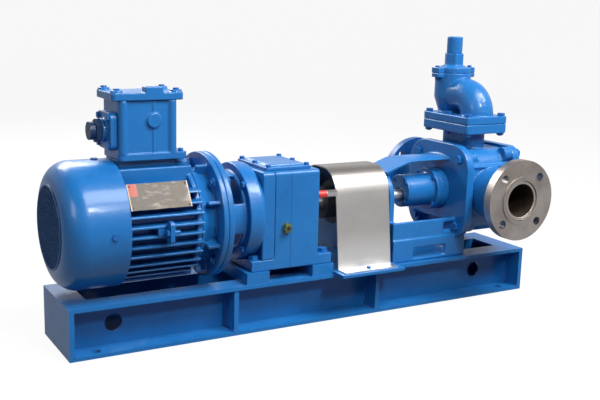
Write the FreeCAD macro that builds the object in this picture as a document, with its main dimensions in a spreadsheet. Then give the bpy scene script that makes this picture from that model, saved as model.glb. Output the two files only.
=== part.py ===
import FreeCAD
import Part
import Sketcher
import math
import os
import re

# Shuttle block pump set: flanged motor, inline gearbox, guarded coupling, pump and relief valve
# on one channel base. Millimetres, +Z up, +X towards the pump. The origin is on the floor under
# the centre of the base.

SIZES = {
    # Channel base
    "base_length": 1090,
    "base_width": 174,
    "base_height": 100,
    "rail_leg": 50,
    "rail_web": 5.3,
    "rail_flange": 7.5,
    "end_web": 10,
    "end_leg": 37,
    "lifting_hole": 17.5,
    "lifting_inset_motor": 98,
    "lifting_inset_pump": 111,
    "foundation_hole": 9,
    "foundation_inset": 55,
    "foundation_edge": 19,
    "stiffener": 10,
    "stiffener_motor_place": -208,
    "stiffener_pump_place": 131,
    "tie_plate": 10,
    # Fasteners
    "foot_bolt": 6,
    "foot_bolt_hole": 6.7,
    "flange_bolt": 6,
    "cover_screw": 3,
    "casing_bolt": 6,
    "spot_face": 12,
    "spot_face_depth": 30,
    "valve_bolt": 5,
    "bolt_head_ratio": 1.3,
    "bolt_corner_ratio": 1.75,
    "bolt_clearance": 0.7,
    "screw_clearance": 0.5,
    "casting_gap": 0.5,
    "nut_thick": 5,
    "screw_head_corner": 6,
    "screw_head_height": 3,
    "entry_screw_head": 4,
    "cowl_screw_corner": 7,
    "top_screw_head": 5,
    "rim_screw_head": 4,
    "rim_screw_corner": 5,
    "rim_screw_edge": 5.3,
    "cap_screw_corner": 4.5,
    "cap_screw_edge": 5,
    # Gearbox
    "case_start": -150,
    "case_length": 130,
    "case_width": 160,
    "case_height": 201,
    "case_wall": 9,
    "end_cover_length": 28,
    "case_round": 8,
    "pad_height": 24,
    "pad_length": 50,
    "pad_width": 170,
    "pad_overhang": 12,
    "pad_overhang_output": 3,
    "foot_thick": 22,
    "foot_left": 23,
    "foot_right": 33,
    "foot_bolt_edge": 12,
    "foot_bolt_row": 124,
    "shaft_height": 112,
    "boss_length": 18,
    "boss_radius": 44,
    "top_cover_thick": 7,
    "top_cover_inset": 14,
    "top_cover_land": 14,
    "top_cover_screw_edge": 7,
    "top_cover_rise": 3,
    "oil_plug_radius": 9,
    "oil_plug_place": 54.6,
    "oil_plug_drop": 27,
    "oil_plug_thread": 6.3,
    "oil_plug_collar": 10.8,
    "oil_plug_collar_thick": 3,
    "oil_plug_head": 6,
    "vent_radius": 8,
    "vent_length": 44,
    "vent_collar_length": 19.8,
    "vent_side": 72,
    "vent_rise": 34,
    # Gear train: module, pressure angle and tooth counts
    "gear_module": 2.5,
    "pressure_angle": 25,
    "pinion_teeth": 14,
    "counter_wheel_teeth": 31,
    "counter_pinion_teeth": 13,
    "output_wheel_teeth": 32,
    "tooth_backlash": 0.3,
    "tooth_depth": 1.25,
    "flank_start": 0.2,
    "first_gear_width": 22,
    "second_gear_width": 30,
    "gear_gap": 12,
    # Rolling bearings: bore radius, outer radius and width
    "counter_bore": 10,
    "counter_step": 13,
    "counter_bearing": 21,
    "counter_bearing_width": 12,
    "output_bore": 17.5,
    "output_bearing": 31,
    "output_bearing_width": 14,
    "bearing_shoulder": 6,
    "motor_bore": 15,
    "motor_bearing": 31,
    "motor_bearing_width": 16,
    "pump_bore": 15,
    "pump_bearing": 23.5,
    "pump_bearing_width": 9,
    "pump_bearing_lip": 5,
    "running_fit": 0.05,
    "seal_width": 7,
    # Motor
    "frame_length": 146,
    "frame_bore": 85,
    "frame_wall": 7,
    "fin_reach": 118,
    "fin_thick": 5,
    "fin_pitch": 19,
    "frame_rim": 10,
    "frame_rim_radius": 104,
    "shield_length": 46,
    "shield_neck": 92,
    "shield_wall": 8,
    "flange_radius": 125,
    "flange_thick": 11,
    "flange_pitch_radius": 107.5,
    "shield_rib": 7,
    "shield_rib_start": 10.5,
    "shield_knee": 15.75,
    "shield_knee_radius": 96,
    "shield_start_radius": 106,
    "shield_hub_wall": 12,
    "shaft_opening": 20,
    "bearing_wall": 7,
    "bearing_back": 4,
    "rear_shield_thick": 12,
    "rear_shield_radius": 98,
    "cowl_radius": 122,
    "cowl_length": 117,
    "cowl_wall": 2,
    "cowl_round": 42,
    "cowl_lug": 40,
    "cowl_screw_place": 30,
    "grille_radius": 76,
    "grille_bar": 2.4,
    "grille_pitch": 11,
    "stator_length": 84,
    "stator_bore": 50,
    "air_gap": 0.5,
    "winding_length": 20,
    "winding_wall": 5,
    "winding_inset": 9,
    "winding_chamfer": 6,
    "end_ring": 8,
    "end_ring_inset": 6,
    "fan_radius": 104,
    "fan_width": 38,
    "fan_blade": 3,
    "fan_gap": 30,
    "fan_hub": 24,
    "fan_back": 3,
    "fan_back_radius": 83.2,
    "fan_blades": 7,
    "motor_shaft_body": 19,
    "nameplate_length": 118,
    "nameplate_width": 52,
    "nameplate_thick": 1.5,
    "nameplate_angle": 33,
    "nameplate_seat_length": 106.2,
    "nameplate_seat_width": 26.0,
    "nameplate_seat_rise": 5,
    "lug_length": 34,
    "lug_seat_length": 22,
    "lug_seat_width": 16,
    "lug_seat_drop": 4,
    "lug_shift": 7,
    "lug_boss_thick": 6,
    "lug_boss": 6.8,
    "lug_reach": 20,
    "lug_height": 42,
    "lug_thick": 8,
    "lug_screw": 4,
    "lug_screw_length": 20,
    # Terminal box
    "box_centre": -375,
    "box_width": 88,
    "box_length": 114,
    "box_height": 99,
    "box_wall": 6,
    "box_flange_length": 136,
    "box_flange_width": 96,
    "box_flange_thick": 13,
    "box_seat": 122,
    "box_seat_inset": 20,
    "box_flange_shift": 10,
    "box_round": 8,
    "box_flange_round": 10,
    "box_boss": 14,
    "box_boss_shift": 11,
    "box_boss_rise": 12,
    "box_boss_height": 5,
    "box_rib": 3,
    "box_rib_height": 2,
    "box_post": 9,
    "box_post_edge": 4,
    "lid_length": 140,
    "lid_width": 98,
    "lid_thick": 14,
    "lid_round": 8,
    "lid_corner": 12,
    "lid_boss": 11,
    "lid_boss_rise": 5,
    "lid_pad_length": 35,
    "lid_pad_width": 22,
    "lid_pad_rise": 11,
    "lid_pad_shift": 6,
    "entry_plate_thick": 14,
    "entry_plate_width": 76,
    "entry_plate_height": 70,
    "entry_plate_rise": 6,
    "entry_plate_round": 12,
    "entry_boss": 8,
    "entry_boss_wall": 6,
    "entry_screw_edge": 9,
    "cable_plug_radius": 17,
    "cable_thread": 13,
    "cable_plug_corner": 22,
    "cable_plug_cap": 11,
    "cable_plug_length": 22,
    # Adaptor between motor and gearbox
    "adaptor_flange": 12,
    "adaptor_neck": 46,
    "adaptor_ring": 36,
    "adaptor_ring_radius": 100,
    "adaptor_neck_radius": 84,
    "adaptor_wall": 10,
    "adaptor_bore": 50,
    "adaptor_chamfer": 5,
    "adaptor_window": 66,
    "adaptor_window_depth": 44,
    "adaptor_window_edge": 6,
    "ring_pitch_radius": 92,
    "ring_bolt": 4,
    # Coupling and its guard
    "hub_gap": 31,
    "hub_length": 56,
    "hub_radius": 48,
    "hub_boss": 34,
    "spider_width": 14,
    "jaw_inner": 22,
    "spider_bore": 10,
    "coupling_bore_pump": 14,
    "jaws": 3,
    "jaw_sweep": 38,
    "spider_sweep": 22,
    "spider_clearance": 2,
    "guard_length": 133,
    "guard_half_foot": 88,
    "guard_half_top": 63,
    "guard_height": 210,
    "guard_sheet": 2.5,
    "guard_round": 56,
    "guard_lip": 29,
    "support_thick": 6,
    "support_overhang": 11,
    "support_overhang_pump": 12,
    "support_width": 250,
    # Pump bracket
    "bracket_gap": 17,
    "yoke_length": 173,
    "yoke_half_width": 58,
    "yoke_wall": 8,
    "yoke_crown": 90,
    "roof_half_width": 40,
    "roof_curve": 110,
    "yoke_frame": 14,
    "yoke_foot": 10,
    "yoke_drop": 26,
    "yoke_slope": 73,
    "pedestal_inset": 4,
    "pedestal_length": 200,
    "pedestal_width": 148,
    "pedestal_shoulder": 50,
    "pedestal_height": 90,
    "pedestal_step": 3,
    "pedestal_wall": 10,
    "pedestal_floor": 6,
    "pedestal_window_inset": 55,
    "pedestal_window_height": 24,
    "pedestal_well": 42,
    "pump_bolt_row": 109,
    "plate_thick": 20,
    "plate_size": 214,
    "plate_round": 55,
    "plate_corner": 20,
    "rear_plate_corner": 18,
    # Pump bearing housing
    "housing_radius": 37,
    "housing_length": 80,
    "housing_cap": 6,
    "housing_flange": 48,
    "housing_flange_thick": 13,
    "cover_boss_length": 20,
    "cover_boss": 46,
    "packing_wall": 12,
    "packing_back": 5,
    "packing_front": 4,
    "packing_length": 8,
    # Pump mechanism
    "crank_throw": 10,
    "crank_pin": 16,
    "crank_web": 30,
    "crank_web_thick": 14.6,
    "web_gap": 0.4,
    "web_face_gap": 0.1,
    "pump_shaft_body": 17.5,
    "drum_radius": 70,
    "drum_gap": 0.3,
    "drum_length": 92.4,
    "drum_back": 18,
    "slot_width": 56,
    "block_fit": 0.05,
    "block_side_gap": 0.6,
    "drum_stub": 22,
    "drum_stub_length": 25,
    "bush_wall": 5.5,
    "bush_length": 20,
    # Pump casing
    "casing_length": 115,
    "casing_half_width": 95,
    "casing_half_height": 96,
    "casing_round": 45,
    "casing_rib": 12,
    "casing_rib_thick": 6,
    "casing_rib_rise": 3,
    "casing_tap": 20,
    "casing_bolt_reach": 14,
    "rear_bolt_reach": 12,
    "rear_tap": 16,
    "tap_pad": 16,
    "tap_pad_length": 22,
    "neck_root": 40,
    "cover_recess": 8,
    "cover_recess_radius": 78,
    "spigot": 4,
    "rear_spigot": 10,
    "rear_plate_size": 204,
    "rear_plate_round": 30,
    "rear_plate_thick": 20,
    "rear_boss": 40,
    "rear_boss_length": 10,
    "port_reach": 200,
    "gallery_radius": 58,
    "gallery_shift": 20,
    "gallery_length": 62,
    "port_pocket": 39,
    "port_wall": 116,
    "port_bore": 36.5,
    "port_pipe": 44,
    "port_hub": 57,
    "pipe_flange_radius": 89,
    "pipe_flange_thick": 22,
    "pipe_raised_face": 52.4,
    "pipe_raised_height": 2,
    "pipe_pitch_radius": 69.85,
    "pipe_bolt_hole": 9.5,
    # Relief valve
    "valve_neck_height": 378,
    "valve_neck_half": 28,
    "valve_neck_reach": 58,
    "valve_flange_length": 118,
    "valve_flange_width": 162,
    "casing_flange_thick": 21,
    "valve_flange_thick": 17,
    "valve_bolt_edge": 11,
    "valve_bolt_tail": 7,
    "valve_flange_round": 8,
    "valve_shift": 7,
    "valve_offset": 50,
    "valve_way_shift": 6,
    "return_offset": 42,
    "valve_passage": 10,
    "valve_radius": 41.5,
    "valve_foot_radius": 30,
    "valve_height": 90,
    "valve_taper": 34,
    "valve_wall": 10,
    "elbow_bend": 43,
    "elbow_radius": 37,
    "elbow_bore": 20,
    "seat_height": 26,
    "seat_bore": 14,
    "seat_ring": 22,
    "seat_thick": 12,
    "seat_stand": 6,
    "disc_radius": 24,
    "disc_thick": 9,
    "stem_radius": 5,
    "stem_length": 70,
    "spring_radius": 17,
    "spring_wire": 2.2,
    "spring_turns": 6,
    "spring_steps": 16,
    "spring_sides": 8,
    "spring_length": 48,
    "spring_gap": 0.2,
    "screw_radius": 11,
    "screw_plate": 22,
    "screw_plate_thick": 4,
    "screw_tail": 20,
    "screw_bore_room": 14,
    "bonnet_thick": 13,
    "bonnet_radius": 40,
    "bonnet_ear": 54,
    "bonnet_ear_width": 26,
    "bonnet_ear_thick": 10,
    "bonnet_bolt": 3,
    "bonnet_bolt_edge": 6.5,
    "bonnet_hex": 20,
    "bonnet_hex_height": 32,
    "bonnet_dome": 5,
    "cap_radius": 18,
    "cap_height": 38.5,
    "cap_wall": 5,
}

doc = FreeCAD.newDocument("shuttle_block_pump")
sheet = doc.addObject("Spreadsheet::Sheet", "Sizes")
for row, (alias, number) in enumerate(SIZES.items(), start=1):
    sheet.set(f"A{row}", alias)
    sheet.set(f"B{row}", str(number))
    sheet.setAlias(f"B{row}", alias)
doc.recompute()

# Stations along X and heights, written as sums of sheet sizes
CASE_END = "(case_start + case_length)"
BOSS_END = "(case_start + case_length + boss_length)"
DRIVE_HUB = f"({BOSS_END} + hub_gap)"
SPIDER = f"({DRIVE_HUB} + hub_length)"
DRIVEN_HUB = f"({SPIDER} + spider_width)"
COUPLING_END = f"({DRIVEN_HUB} + hub_length)"
BRACKET = f"({COUPLING_END} + bracket_gap)"
PLATE = f"({BRACKET} + yoke_length)"
CASING = f"({PLATE} + plate_thick)"
CHAMBER = f"({CASING} + cover_recess + spigot)"
CASING_END = f"({CASING} + casing_length)"
CASING_MIDDLE = f"({CASING} + casing_length / 2)"
VALVE_X = f"({CASING_MIDDLE} - valve_shift)"
COVER_BOSS = f"({PLATE} - cover_boss_length)"
HOUSING = f"({COVER_BOSS} - housing_length)"
ADAPTOR = "(case_start - adaptor_ring - adaptor_neck - adaptor_flange)"
SHIELD = f"({ADAPTOR} - shield_length)"
FRAME = f"({SHIELD} - frame_length)"
COWL = f"({FRAME} - cowl_length)"
PAD_TOP = "(base_height + pad_height)"
SHAFT_Z = f"({PAD_TOP} + shaft_height)"
FIRST_CENTRES = "(gear_module * (pinion_teeth + counter_wheel_teeth) / 2)"
SECOND_CENTRES = "(gear_module * (counter_pinion_teeth + output_wheel_teeth) / 2)"
COUNTER_Z = f"({SHAFT_Z} - {SECOND_CENTRES})"
MOTOR_Z = f"({COUNTER_Z} + {FIRST_CENTRES})"
PUMP_Z = f"({SHAFT_Z} + crank_throw)"
PIN_Z = f"({SHAFT_Z} - crank_throw)"
FIRST_GEAR = "(case_start + 2 * case_wall + gear_gap / 3)"
SECOND_GEAR = f"({FIRST_GEAR} + first_gear_width + gear_gap)"
VALVE_BASE = "(valve_neck_height + casing_flange_thick)"
VALVE_FLANGE_TOP = f"({VALVE_BASE} + valve_flange_thick)"
VALVE_TOP = f"({VALVE_FLANGE_TOP} + valve_height)"
SEAT_TOP = f"({VALVE_FLANGE_TOP} + seat_height)"
BONNET_TOP = f"({VALVE_TOP} + bonnet_thick)"

nodes = []


def bound(text):
    """The expression with each size name pointing at its sheet cell."""
    return re.sub(r"[a-z_]+", lambda word: "Sizes." + word[0] if word[0] in SIZES else word[0], str(text))


def value(text):
    """The number that an expression has now."""
    return float(sheet.evalExpression(bound(text)))


def tie(item, prop, text):
    item.setExpression(prop, bound(text))


def place(item, x, y, z):
    for letter, text in zip("xyz", (x, y, z)):
        tie(item, "Placement.Base." + letter, text)


def node(name, item):
    """Marks the object as a finished piece of the pump set."""
    item.Label = name
    nodes.append(item)
    return item


# Primitives and booleans
TURN = {
    "X": FreeCAD.Rotation(FreeCAD.Vector(0, 1, 0), 90),
    "Y": FreeCAD.Rotation(FreeCAD.Vector(1, 0, 0), -90),
    "Z": FreeCAD.Rotation(),
}


def block(x, y, z, length, width, height):
    item = doc.addObject("Part::Box", "Block")
    tie(item, "Length", length)
    tie(item, "Width", width)
    tie(item, "Height", height)
    place(item, x, y, z)
    return item


def middle_block(x, y, z, length, width, height):
    """A block that starts at x and z and is centred on y."""
    return block(x, f"{y} - ({width}) / 2", z, length, width, height)


def rod(axis, x, y, z, length, radius, sweep=360):
    item = doc.addObject("Part::Cylinder", "Rod")
    item.Placement = FreeCAD.Placement(FreeCAD.Vector(), TURN[axis])
    tie(item, "Height", length)
    tie(item, "Radius", radius)
    item.Angle = sweep
    place(item, x, y, z)
    return item


def cone(axis, x, y, z, length, start, end):
    item = doc.addObject("Part::Cone", "Cone")
    item.Placement = FreeCAD.Placement(FreeCAD.Vector(), TURN[axis])
    tie(item, "Height", length)
    tie(item, "Radius1", start)
    tie(item, "Radius2", end)
    place(item, x, y, z)
    return item


def hexagon(axis, x, y, z, length, corner):
    item = doc.addObject("Part::Prism", "Hexagon")
    item.Polygon = 6
    item.Placement = FreeCAD.Placement(FreeCAD.Vector(), TURN[axis])
    tie(item, "Height", length)
    tie(item, "Circumradius", corner)
    place(item, x, y, z)
    return item


def polar_block(angle, x, z, inner, length, thick, reach):
    """A block standing radially from the X-parallel axis at height z, turned by an angle."""
    item = doc.addObject("Part::Box", "Rib")
    turn = FreeCAD.Rotation(FreeCAD.Vector(1, 0, 0), angle)
    item.Placement = FreeCAD.Placement(FreeCAD.Vector(), turn)
    tie(item, "Length", length)
    tie(item, "Width", thick)
    tie(item, "Height", reach)
    across = f"-({thick}) / 2"
    y = f"{across} * cos({angle}) - ({inner}) * sin({angle})"
    height = f"{z} + {across} * sin({angle}) + ({inner}) * cos({angle})"
    place(item, x, y, height)
    return item


def join(items):
    if len(items) == 1:
        return items[0]
    item = doc.addObject("Part::MultiFuse", "Joined")
    item.Shapes = items
    item.Refine = True
    return item


def cut(base, tools):
    item = doc.addObject("Part::Cut", "Cut")
    item.Base = base
    item.Tool = join(tools)
    return item


def overlap(first, second):
    item = doc.addObject("Part::Common", "Overlap")
    item.Base = first
    item.Tool = second
    return item


def group(items):
    item = doc.addObject("Part::Compound", "Group")
    item.Links = items
    return item


def ring(axis, x, y, z, length, outer, inner):
    return cut(rod(axis, x, y, z, length, outer), [rod(axis, x, y, z, length, inner)])


def rounded(axis, start, y, z, depth, width, height, corner):
    """A plate with four rounded corners, centred on its axis and starting at start."""
    w = f"({width})"
    t = f"({height})"
    r = f"({corner})"
    if axis == "X":
        parts = [
            block(start, f"{y} - {w} / 2", f"{z} - {t} / 2 + {r}", depth, w, f"{t} - 2 * {r}"),
            block(start, f"{y} - {w} / 2 + {r}", f"{z} - {t} / 2", depth, f"{w} - 2 * {r}", t),
        ]
    else:
        parts = [
            block(f"{y} - {w} / 2", f"{z} - {t} / 2 + {r}", start, w, f"{t} - 2 * {r}", depth),
            block(f"{y} - {w} / 2 + {r}", f"{z} - {t} / 2", start, f"{w} - 2 * {r}", t, depth),
        ]
    for side in (-1, 1):
        for level in (-1, 1):
            across = f"{y} + {side} * ({w} / 2 - {r})"
            up = f"{z} + {level} * ({t} / 2 - {r})"
            if axis == "X":
                parts.append(rod("X", start, across, up, depth, r))
            else:
                parts.append(rod("Z", across, up, start, depth, r))
    return join(parts)


def bolt(axis, sign, x, y, z, length, radius):
    """A hexagon bolt with its head seated at the point and its shank running along sign."""
    head = f"bolt_head_ratio * {radius}"
    corner = f"bolt_corner_ratio * {radius}"
    along = {"X": (1, 0, 0), "Y": (0, 1, 0), "Z": (0, 0, 1)}[axis]
    back = head if sign > 0 else "0"
    front = "0" if sign > 0 else f"({length})"
    start = [f"{p} - {step} * ({back})" for p, step in zip((x, y, z), along)]
    shank = [f"{p} - {step} * ({front})" for p, step in zip((x, y, z), along)]
    return join([hexagon(axis, *start, head, corner), rod(axis, *shank, length, radius)])


# Sketched bodies
PLANES = {
    "X": ("XZ_Plane", "H_Axis"),
    "Y": ("YZ_Plane", "H_Axis"),
    "Z": ("XZ_Plane", "V_Axis"),
}


def sketch(body, role, points):
    """A closed outline whose corners are held from the sketch origin by sheet sizes."""
    drawing = body.newObject("Sketcher::SketchObject", "Outline")
    plane = [item for item in body.Origin.OriginFeatures if item.Role == role][0]
    drawing.AttachmentSupport = (plane, [""])
    drawing.MapMode = "FlatFace"
    corners = [FreeCAD.Vector(value(u), value(v), 0) for u, v in points]
    count = len(corners)
    for index in range(count):
        drawing.addGeometry(Part.LineSegment(corners[index], corners[(index + 1) % count]), False)
    for index in range(count):
        drawing.addConstraint(Sketcher.Constraint("Coincident", index, 2, (index + 1) % count, 1))
    for index, pair in enumerate(points):
        for kind, axis, text, number in (
            ("DistanceX", -2, pair[0], corners[index].x),
            ("DistanceY", -1, pair[1], corners[index].y),
        ):
            if abs(number) < 1e-9:
                drawing.addConstraint(Sketcher.Constraint("PointOnObject", index, 1, axis))
            else:
                row = drawing.addConstraint(Sketcher.Constraint(kind, -1, 1, index, 1, number))
                tie(drawing, f"Constraints[{row}]", text)
    drawing.Visibility = False
    return drawing


def turned(axis, x, y, z, points):
    """A solid of revolution; the points give distance along the axis and radius."""
    body = doc.addObject("PartDesign::Body", "Turned")
    place(body, x, y, z)
    role, line = PLANES[axis]
    if axis == "Z":
        points = [(radius, along) for along, radius in points]
    outline = sketch(body, role, points)
    feature = body.newObject("PartDesign::Revolution", "Revolution")
    feature.Profile = outline
    feature.ReferenceAxis = (outline, [line])
    feature.Angle = 360
    return body


def padded(role, x, y, z, points, length):
    """A solid drawn on one of the body's planes and padded along its normal."""
    body = doc.addObject("PartDesign::Body", "Padded")
    place(body, x, y, z)
    feature = body.newObject("PartDesign::Pad", "Pad")
    feature.Profile = sketch(body, role, points)
    tie(feature, "Length", length)
    return body


def soften(body, radius, wanted):
    """Rounds the edges of a body whose centre passes the test."""
    doc.recompute()
    tip = body.Tip
    names = [f"Edge{i}" for i, edge in enumerate(tip.Shape.Edges, start=1) if wanted(edge)]
    feature = body.newObject("PartDesign::Fillet", "Round")
    feature.Base = (tip, names)
    tie(feature, "Radius", radius)
    return body


# Channel base: two rails with their toes outwards
def channel_rails():
    inner = "rail_leg - rail_web"
    top = "base_height - rail_flange"
    outline = [("0", "0"), ("rail_leg", "0"), ("rail_leg", "base_height"), ("0", "base_height"),
               ("0", top), (inner, top), (inner, "rail_flange"), ("0", "rail_flange")]
    run = "base_length - 2 * end_web"
    front = padded("YZ_Plane", f"-({run}) / 2", "-base_width / 2", "0", outline, run)
    tools = []
    for side, inset in ((-1, "lifting_inset_motor"), (1, "lifting_inset_pump")):
        x = f"{side} * (base_length / 2 - {inset})"
        tools.append(rod("Y", x, "-base_width / 2", "base_height / 2", "rail_leg", "lifting_hole"))
        x = f"{side} * (base_length / 2 - foundation_inset)"
        y = "-base_width / 2 + foundation_edge"
        tools.append(rod("Z", x, y, "0", "2 * rail_flange", "foundation_hole"))
    for x, row in FOOT_BOLTS:
        tools.append(rod("Z", x, f"-({row}) / 2", top, "rail_flange", "foot_bolt_hole"))
    front = cut(front, tools)
    rear = doc.addObject("Part::Mirroring", "Rear")
    rear.Source = front
    rear.Normal = FreeCAD.Vector(0, 1, 0)
    return node("channel_rails", group([front, rear]))


def end_channels():
    between = "base_width - 2 * rail_leg"
    parts = []
    for side in (-1, 1):
        web = f"{side} * base_length / 2 - {1 if side > 0 else 0} * end_web"
        leg = f"{side} * (base_length / 2 - end_web) - {1 if side > 0 else 0} * end_leg"
        parts.append(join([
            middle_block(web, "0", "0", "end_web", "base_width", "base_height"),
            middle_block(leg, "0", "0", "end_leg", between, "rail_flange"),
            middle_block(leg, "0", "base_height - rail_flange", "end_leg", between, "rail_flange"),
        ]))
    return node("end_channels", group(parts))


def rail_stiffeners():
    depth = "rail_leg - rail_web - 2"
    height = "base_height - 2 * rail_flange"
    parts = []
    for centre in ("stiffener_motor_place", "stiffener_pump_place"):
        for y in ("-base_width / 2 + 2", "base_width / 2 - rail_leg + rail_web"):
            parts.append(block(f"{centre} - stiffener / 2", y, "rail_flange", "stiffener", depth, height))
    between = "base_width - 2 * rail_leg"
    tall = "base_height - rail_flange"
    places = [GEAR_FEET[0], GEAR_FEET[1], PUMP_FEET[0], PUMP_FEET[1]]
    for x in places:
        parts.append(middle_block(f"{x} - tie_plate / 2", "0", "rail_flange", "tie_plate", between, tall))
    return node("rail_stiffeners", group(parts))


# Gearbox feet, pump feet and the bolts that hold both to the rails
GEAR_FEET = ("(case_start - foot_left + foot_bolt_edge)", f"({CASE_END} + foot_right - foot_bolt_edge)")
PUMP_START = f"({BRACKET} + pedestal_inset)"
PUMP_FEET = (
    f"({PUMP_START} + pedestal_window_inset / 2)",
    f"({PUMP_START} + pedestal_length - pedestal_window_inset / 2)",
)
PUMP_ROW = "pump_bolt_row"
FOOT_BOLTS = [(x, "foot_bolt_row") for x in GEAR_FEET] + [(x, PUMP_ROW) for x in PUMP_FEET]


def foot_bolts():
    flange = "base_height - rail_flange"
    tops = [f"({PAD_TOP} + foot_thick)"] * 2 + ["(base_height + pedestal_floor)"] * 2
    parts = []
    for (x, row), top in zip(FOOT_BOLTS, tops):
        for side in (-1, 1):
            y = f"{side} * {row} / 2"
            grip = f"{top} - ({flange}) + bolt_head_ratio * foot_bolt"
            shank = bolt("Z", -1, x, y, top, grip, "foot_bolt")
            nut = hexagon("Z", x, y, f"{flange} - foot_bolt", "foot_bolt", "bolt_corner_ratio * foot_bolt")
            parts.append(join([shank, nut]))
    return node("foot_bolts", group(parts))


def gearbox_pads():
    parts = []
    for start in ("case_start - foot_left - pad_overhang",
                  f"{CASE_END} + foot_right + pad_overhang_output - pad_length"):
        bar = middle_block(start, "0", "base_height", "pad_length", "pad_width", "pad_height")
        holes = [rod("Z", x, f"{side} * foot_bolt_row / 2", "base_height", "pad_height", "foot_bolt_hole")
                 for x in GEAR_FEET for side in (-1, 1)]
        parts.append(cut(bar, holes))
    return node("gearbox_pads", group(parts))


# Gearcase: one casting with a foot, end walls with bearing bosses and an output boss
def gearcase():
    floor = PAD_TOP
    body = rounded("X", "case_start", "0", f"{floor} + case_height / 2", "case_length",
                   "case_width", "case_height", "case_round")
    foot = middle_block("case_start - foot_left", "0", floor,
                        "case_length + foot_left + foot_right", "case_width", "foot_thick")
    boss = rod("X", CASE_END, "0", SHAFT_Z, "boss_length", "boss_radius")
    depth = "(case_length - 2 * case_wall)"
    cavity = middle_block("case_start + case_wall", "0", f"{floor} + case_wall", depth,
                          "case_width - 2 * case_wall", "case_height - 2 * case_wall")
    shell = cut(join([body, foot, boss]), [cavity])
    inner = "(2 * output_bearing_width + seal_width + bearing_shoulder - boss_length)"
    counter_boss = "(counter_bearing + bearing_shoulder)"
    bosses = [
        rod("X", f"{CASE_END} - {inner}", "0", SHAFT_Z, inner, "boss_radius"),
        rod("X", "case_start", "0", COUNTER_Z, "case_wall + counter_bearing_width / 2", counter_boss),
        rod("X", f"{CASE_END} - case_wall - counter_bearing_width / 2", "0", COUNTER_Z,
            "case_wall + counter_bearing_width / 2", counter_boss),
    ]
    side = "(case_wall + counter_bearing_width / 2)"
    tools = [
        rod("X", f"{CASE_END} - {inner}", "0", SHAFT_Z, f"{inner} + boss_length", "output_bearing"),
        rod("X", f"case_start + {side} - counter_bearing_width", "0", COUNTER_Z,
            "counter_bearing_width", "counter_bearing"),
        rod("X", f"{CASE_END} - {side}", "0", COUNTER_Z, "counter_bearing_width", "counter_bearing"),
        rod("X", "case_start", "0", MOTOR_Z, side, "motor_bearing"),
        rod("Y", "case_start + oil_plug_place", "-case_width / 2", f"{SHAFT_Z} - oil_plug_drop",
            "case_wall", "oil_plug_thread"),
    ]
    tools += [rod("Z", x, f"{s} * foot_bolt_row / 2", floor, "foot_thick", "foot_bolt_hole")
              for x in GEAR_FEET for s in (-1, 1)]
    tools += [rod("X", "case_start", f"ring_pitch_radius * cos({a})",
                  f"{MOTOR_Z} + ring_pitch_radius * sin({a})", "case_wall", "ring_bolt")
              for a in (45, 135, 225, 315)]
    opening = "(top_cover_inset + top_cover_land)"
    tools.append(middle_block(f"case_start + {opening}", "0", f"{floor} + case_height - case_wall",
                              f"case_length - 2 * {opening}", f"case_width - 2 * {opening}", "case_wall"))
    casting = cut(join([shell] + bosses), tools)
    relief = rod("X", "case_start - foot_left", "0", MOTOR_Z, "foot_left",
                 "adaptor_ring_radius + casting_gap")
    casting = cut(casting, [relief])
    split = middle_block("case_start - 1", "0", f"{floor} + foot_thick", "end_cover_length + 1",
                         "case_width + 2", "case_height")
    node("gearcase", cut(casting, [split]))
    return node("gearcase_end_cover", overlap(casting, split))


def gearcase_top_cover():
    top = f"({PAD_TOP} + case_height)"
    plate = middle_block("case_start + top_cover_inset", "0", top, "case_length - 2 * top_cover_inset",
                         "case_width - 2 * top_cover_inset", "top_cover_thick")
    panel = middle_block("case_start + 2 * top_cover_inset", "0", f"{top} + top_cover_thick",
                         "case_length - 4 * top_cover_inset", "case_width - 4 * top_cover_inset",
                         "top_cover_rise")
    return node("gearcase_top_cover", join([plate, panel]))


def vent_plug():
    """Breather on the output side: a collar and a hexagon cap."""
    z = f"{SHAFT_Z} + vent_rise"
    collar = rod("X", CASE_END, "-vent_side", z, "vent_collar_length", "vent_radius")
    cap = hexagon("X", f"{CASE_END} + vent_collar_length", "-vent_side", z,
                  "vent_length - vent_collar_length", "vent_radius")
    return node("vent_plug", join([collar, cap]))


def oil_plug():
    x = "case_start + oil_plug_place"
    z = f"{SHAFT_Z} - oil_plug_drop"
    seat = "-case_width / 2"
    shank = rod("Y", x, seat, z, "case_wall", "oil_plug_thread")
    collar = rod("Y", x, f"{seat} - oil_plug_collar_thick", z, "oil_plug_collar_thick",
                 "oil_plug_collar")
    head = hexagon("Y", x, f"{seat} - oil_plug_collar_thick - oil_plug_head", z, "oil_plug_head",
                   "oil_plug_radius")
    return node("oil_plug", join([shank, collar, head]))


# Involute spur gears with straight flats between points of the curve
def gear_outline(teeth, phase):
    """The tooth outline of a gear in the YZ plane, with a tooth centred on the phase angle."""
    module = value("gear_module")
    pressure = math.radians(value("pressure_angle"))
    pitch = module * teeth / 2
    base = pitch * math.cos(pressure)
    tip = pitch + module
    root = pitch - value("tooth_depth") * module
    half = math.pi / (2 * teeth) - value("tooth_backlash") / (2 * pitch)
    start = max(base, root + value("flank_start") * module)
    points = []
    for tooth in range(teeth):
        centre = phase + 2 * math.pi * tooth / teeth
        flank = []
        for step in range(4):
            radius = start + (tip - start) * step / 3
            turn = math.acos(min(1, base / radius))
            spread = half + math.tan(pressure) - pressure - math.tan(turn) + turn
            flank.append((radius, spread))
        flank.insert(0, (root, flank[0][1]))
        for radius, spread in flank:
            points.append((radius, centre - spread))
        for radius, spread in reversed(flank):
            points.append((radius, centre + spread))
    corners = [FreeCAD.Vector(0, r * math.cos(a), r * math.sin(a)) for r, a in points]
    return Part.Face(Part.makePolygon(corners + [corners[0]]))


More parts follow.
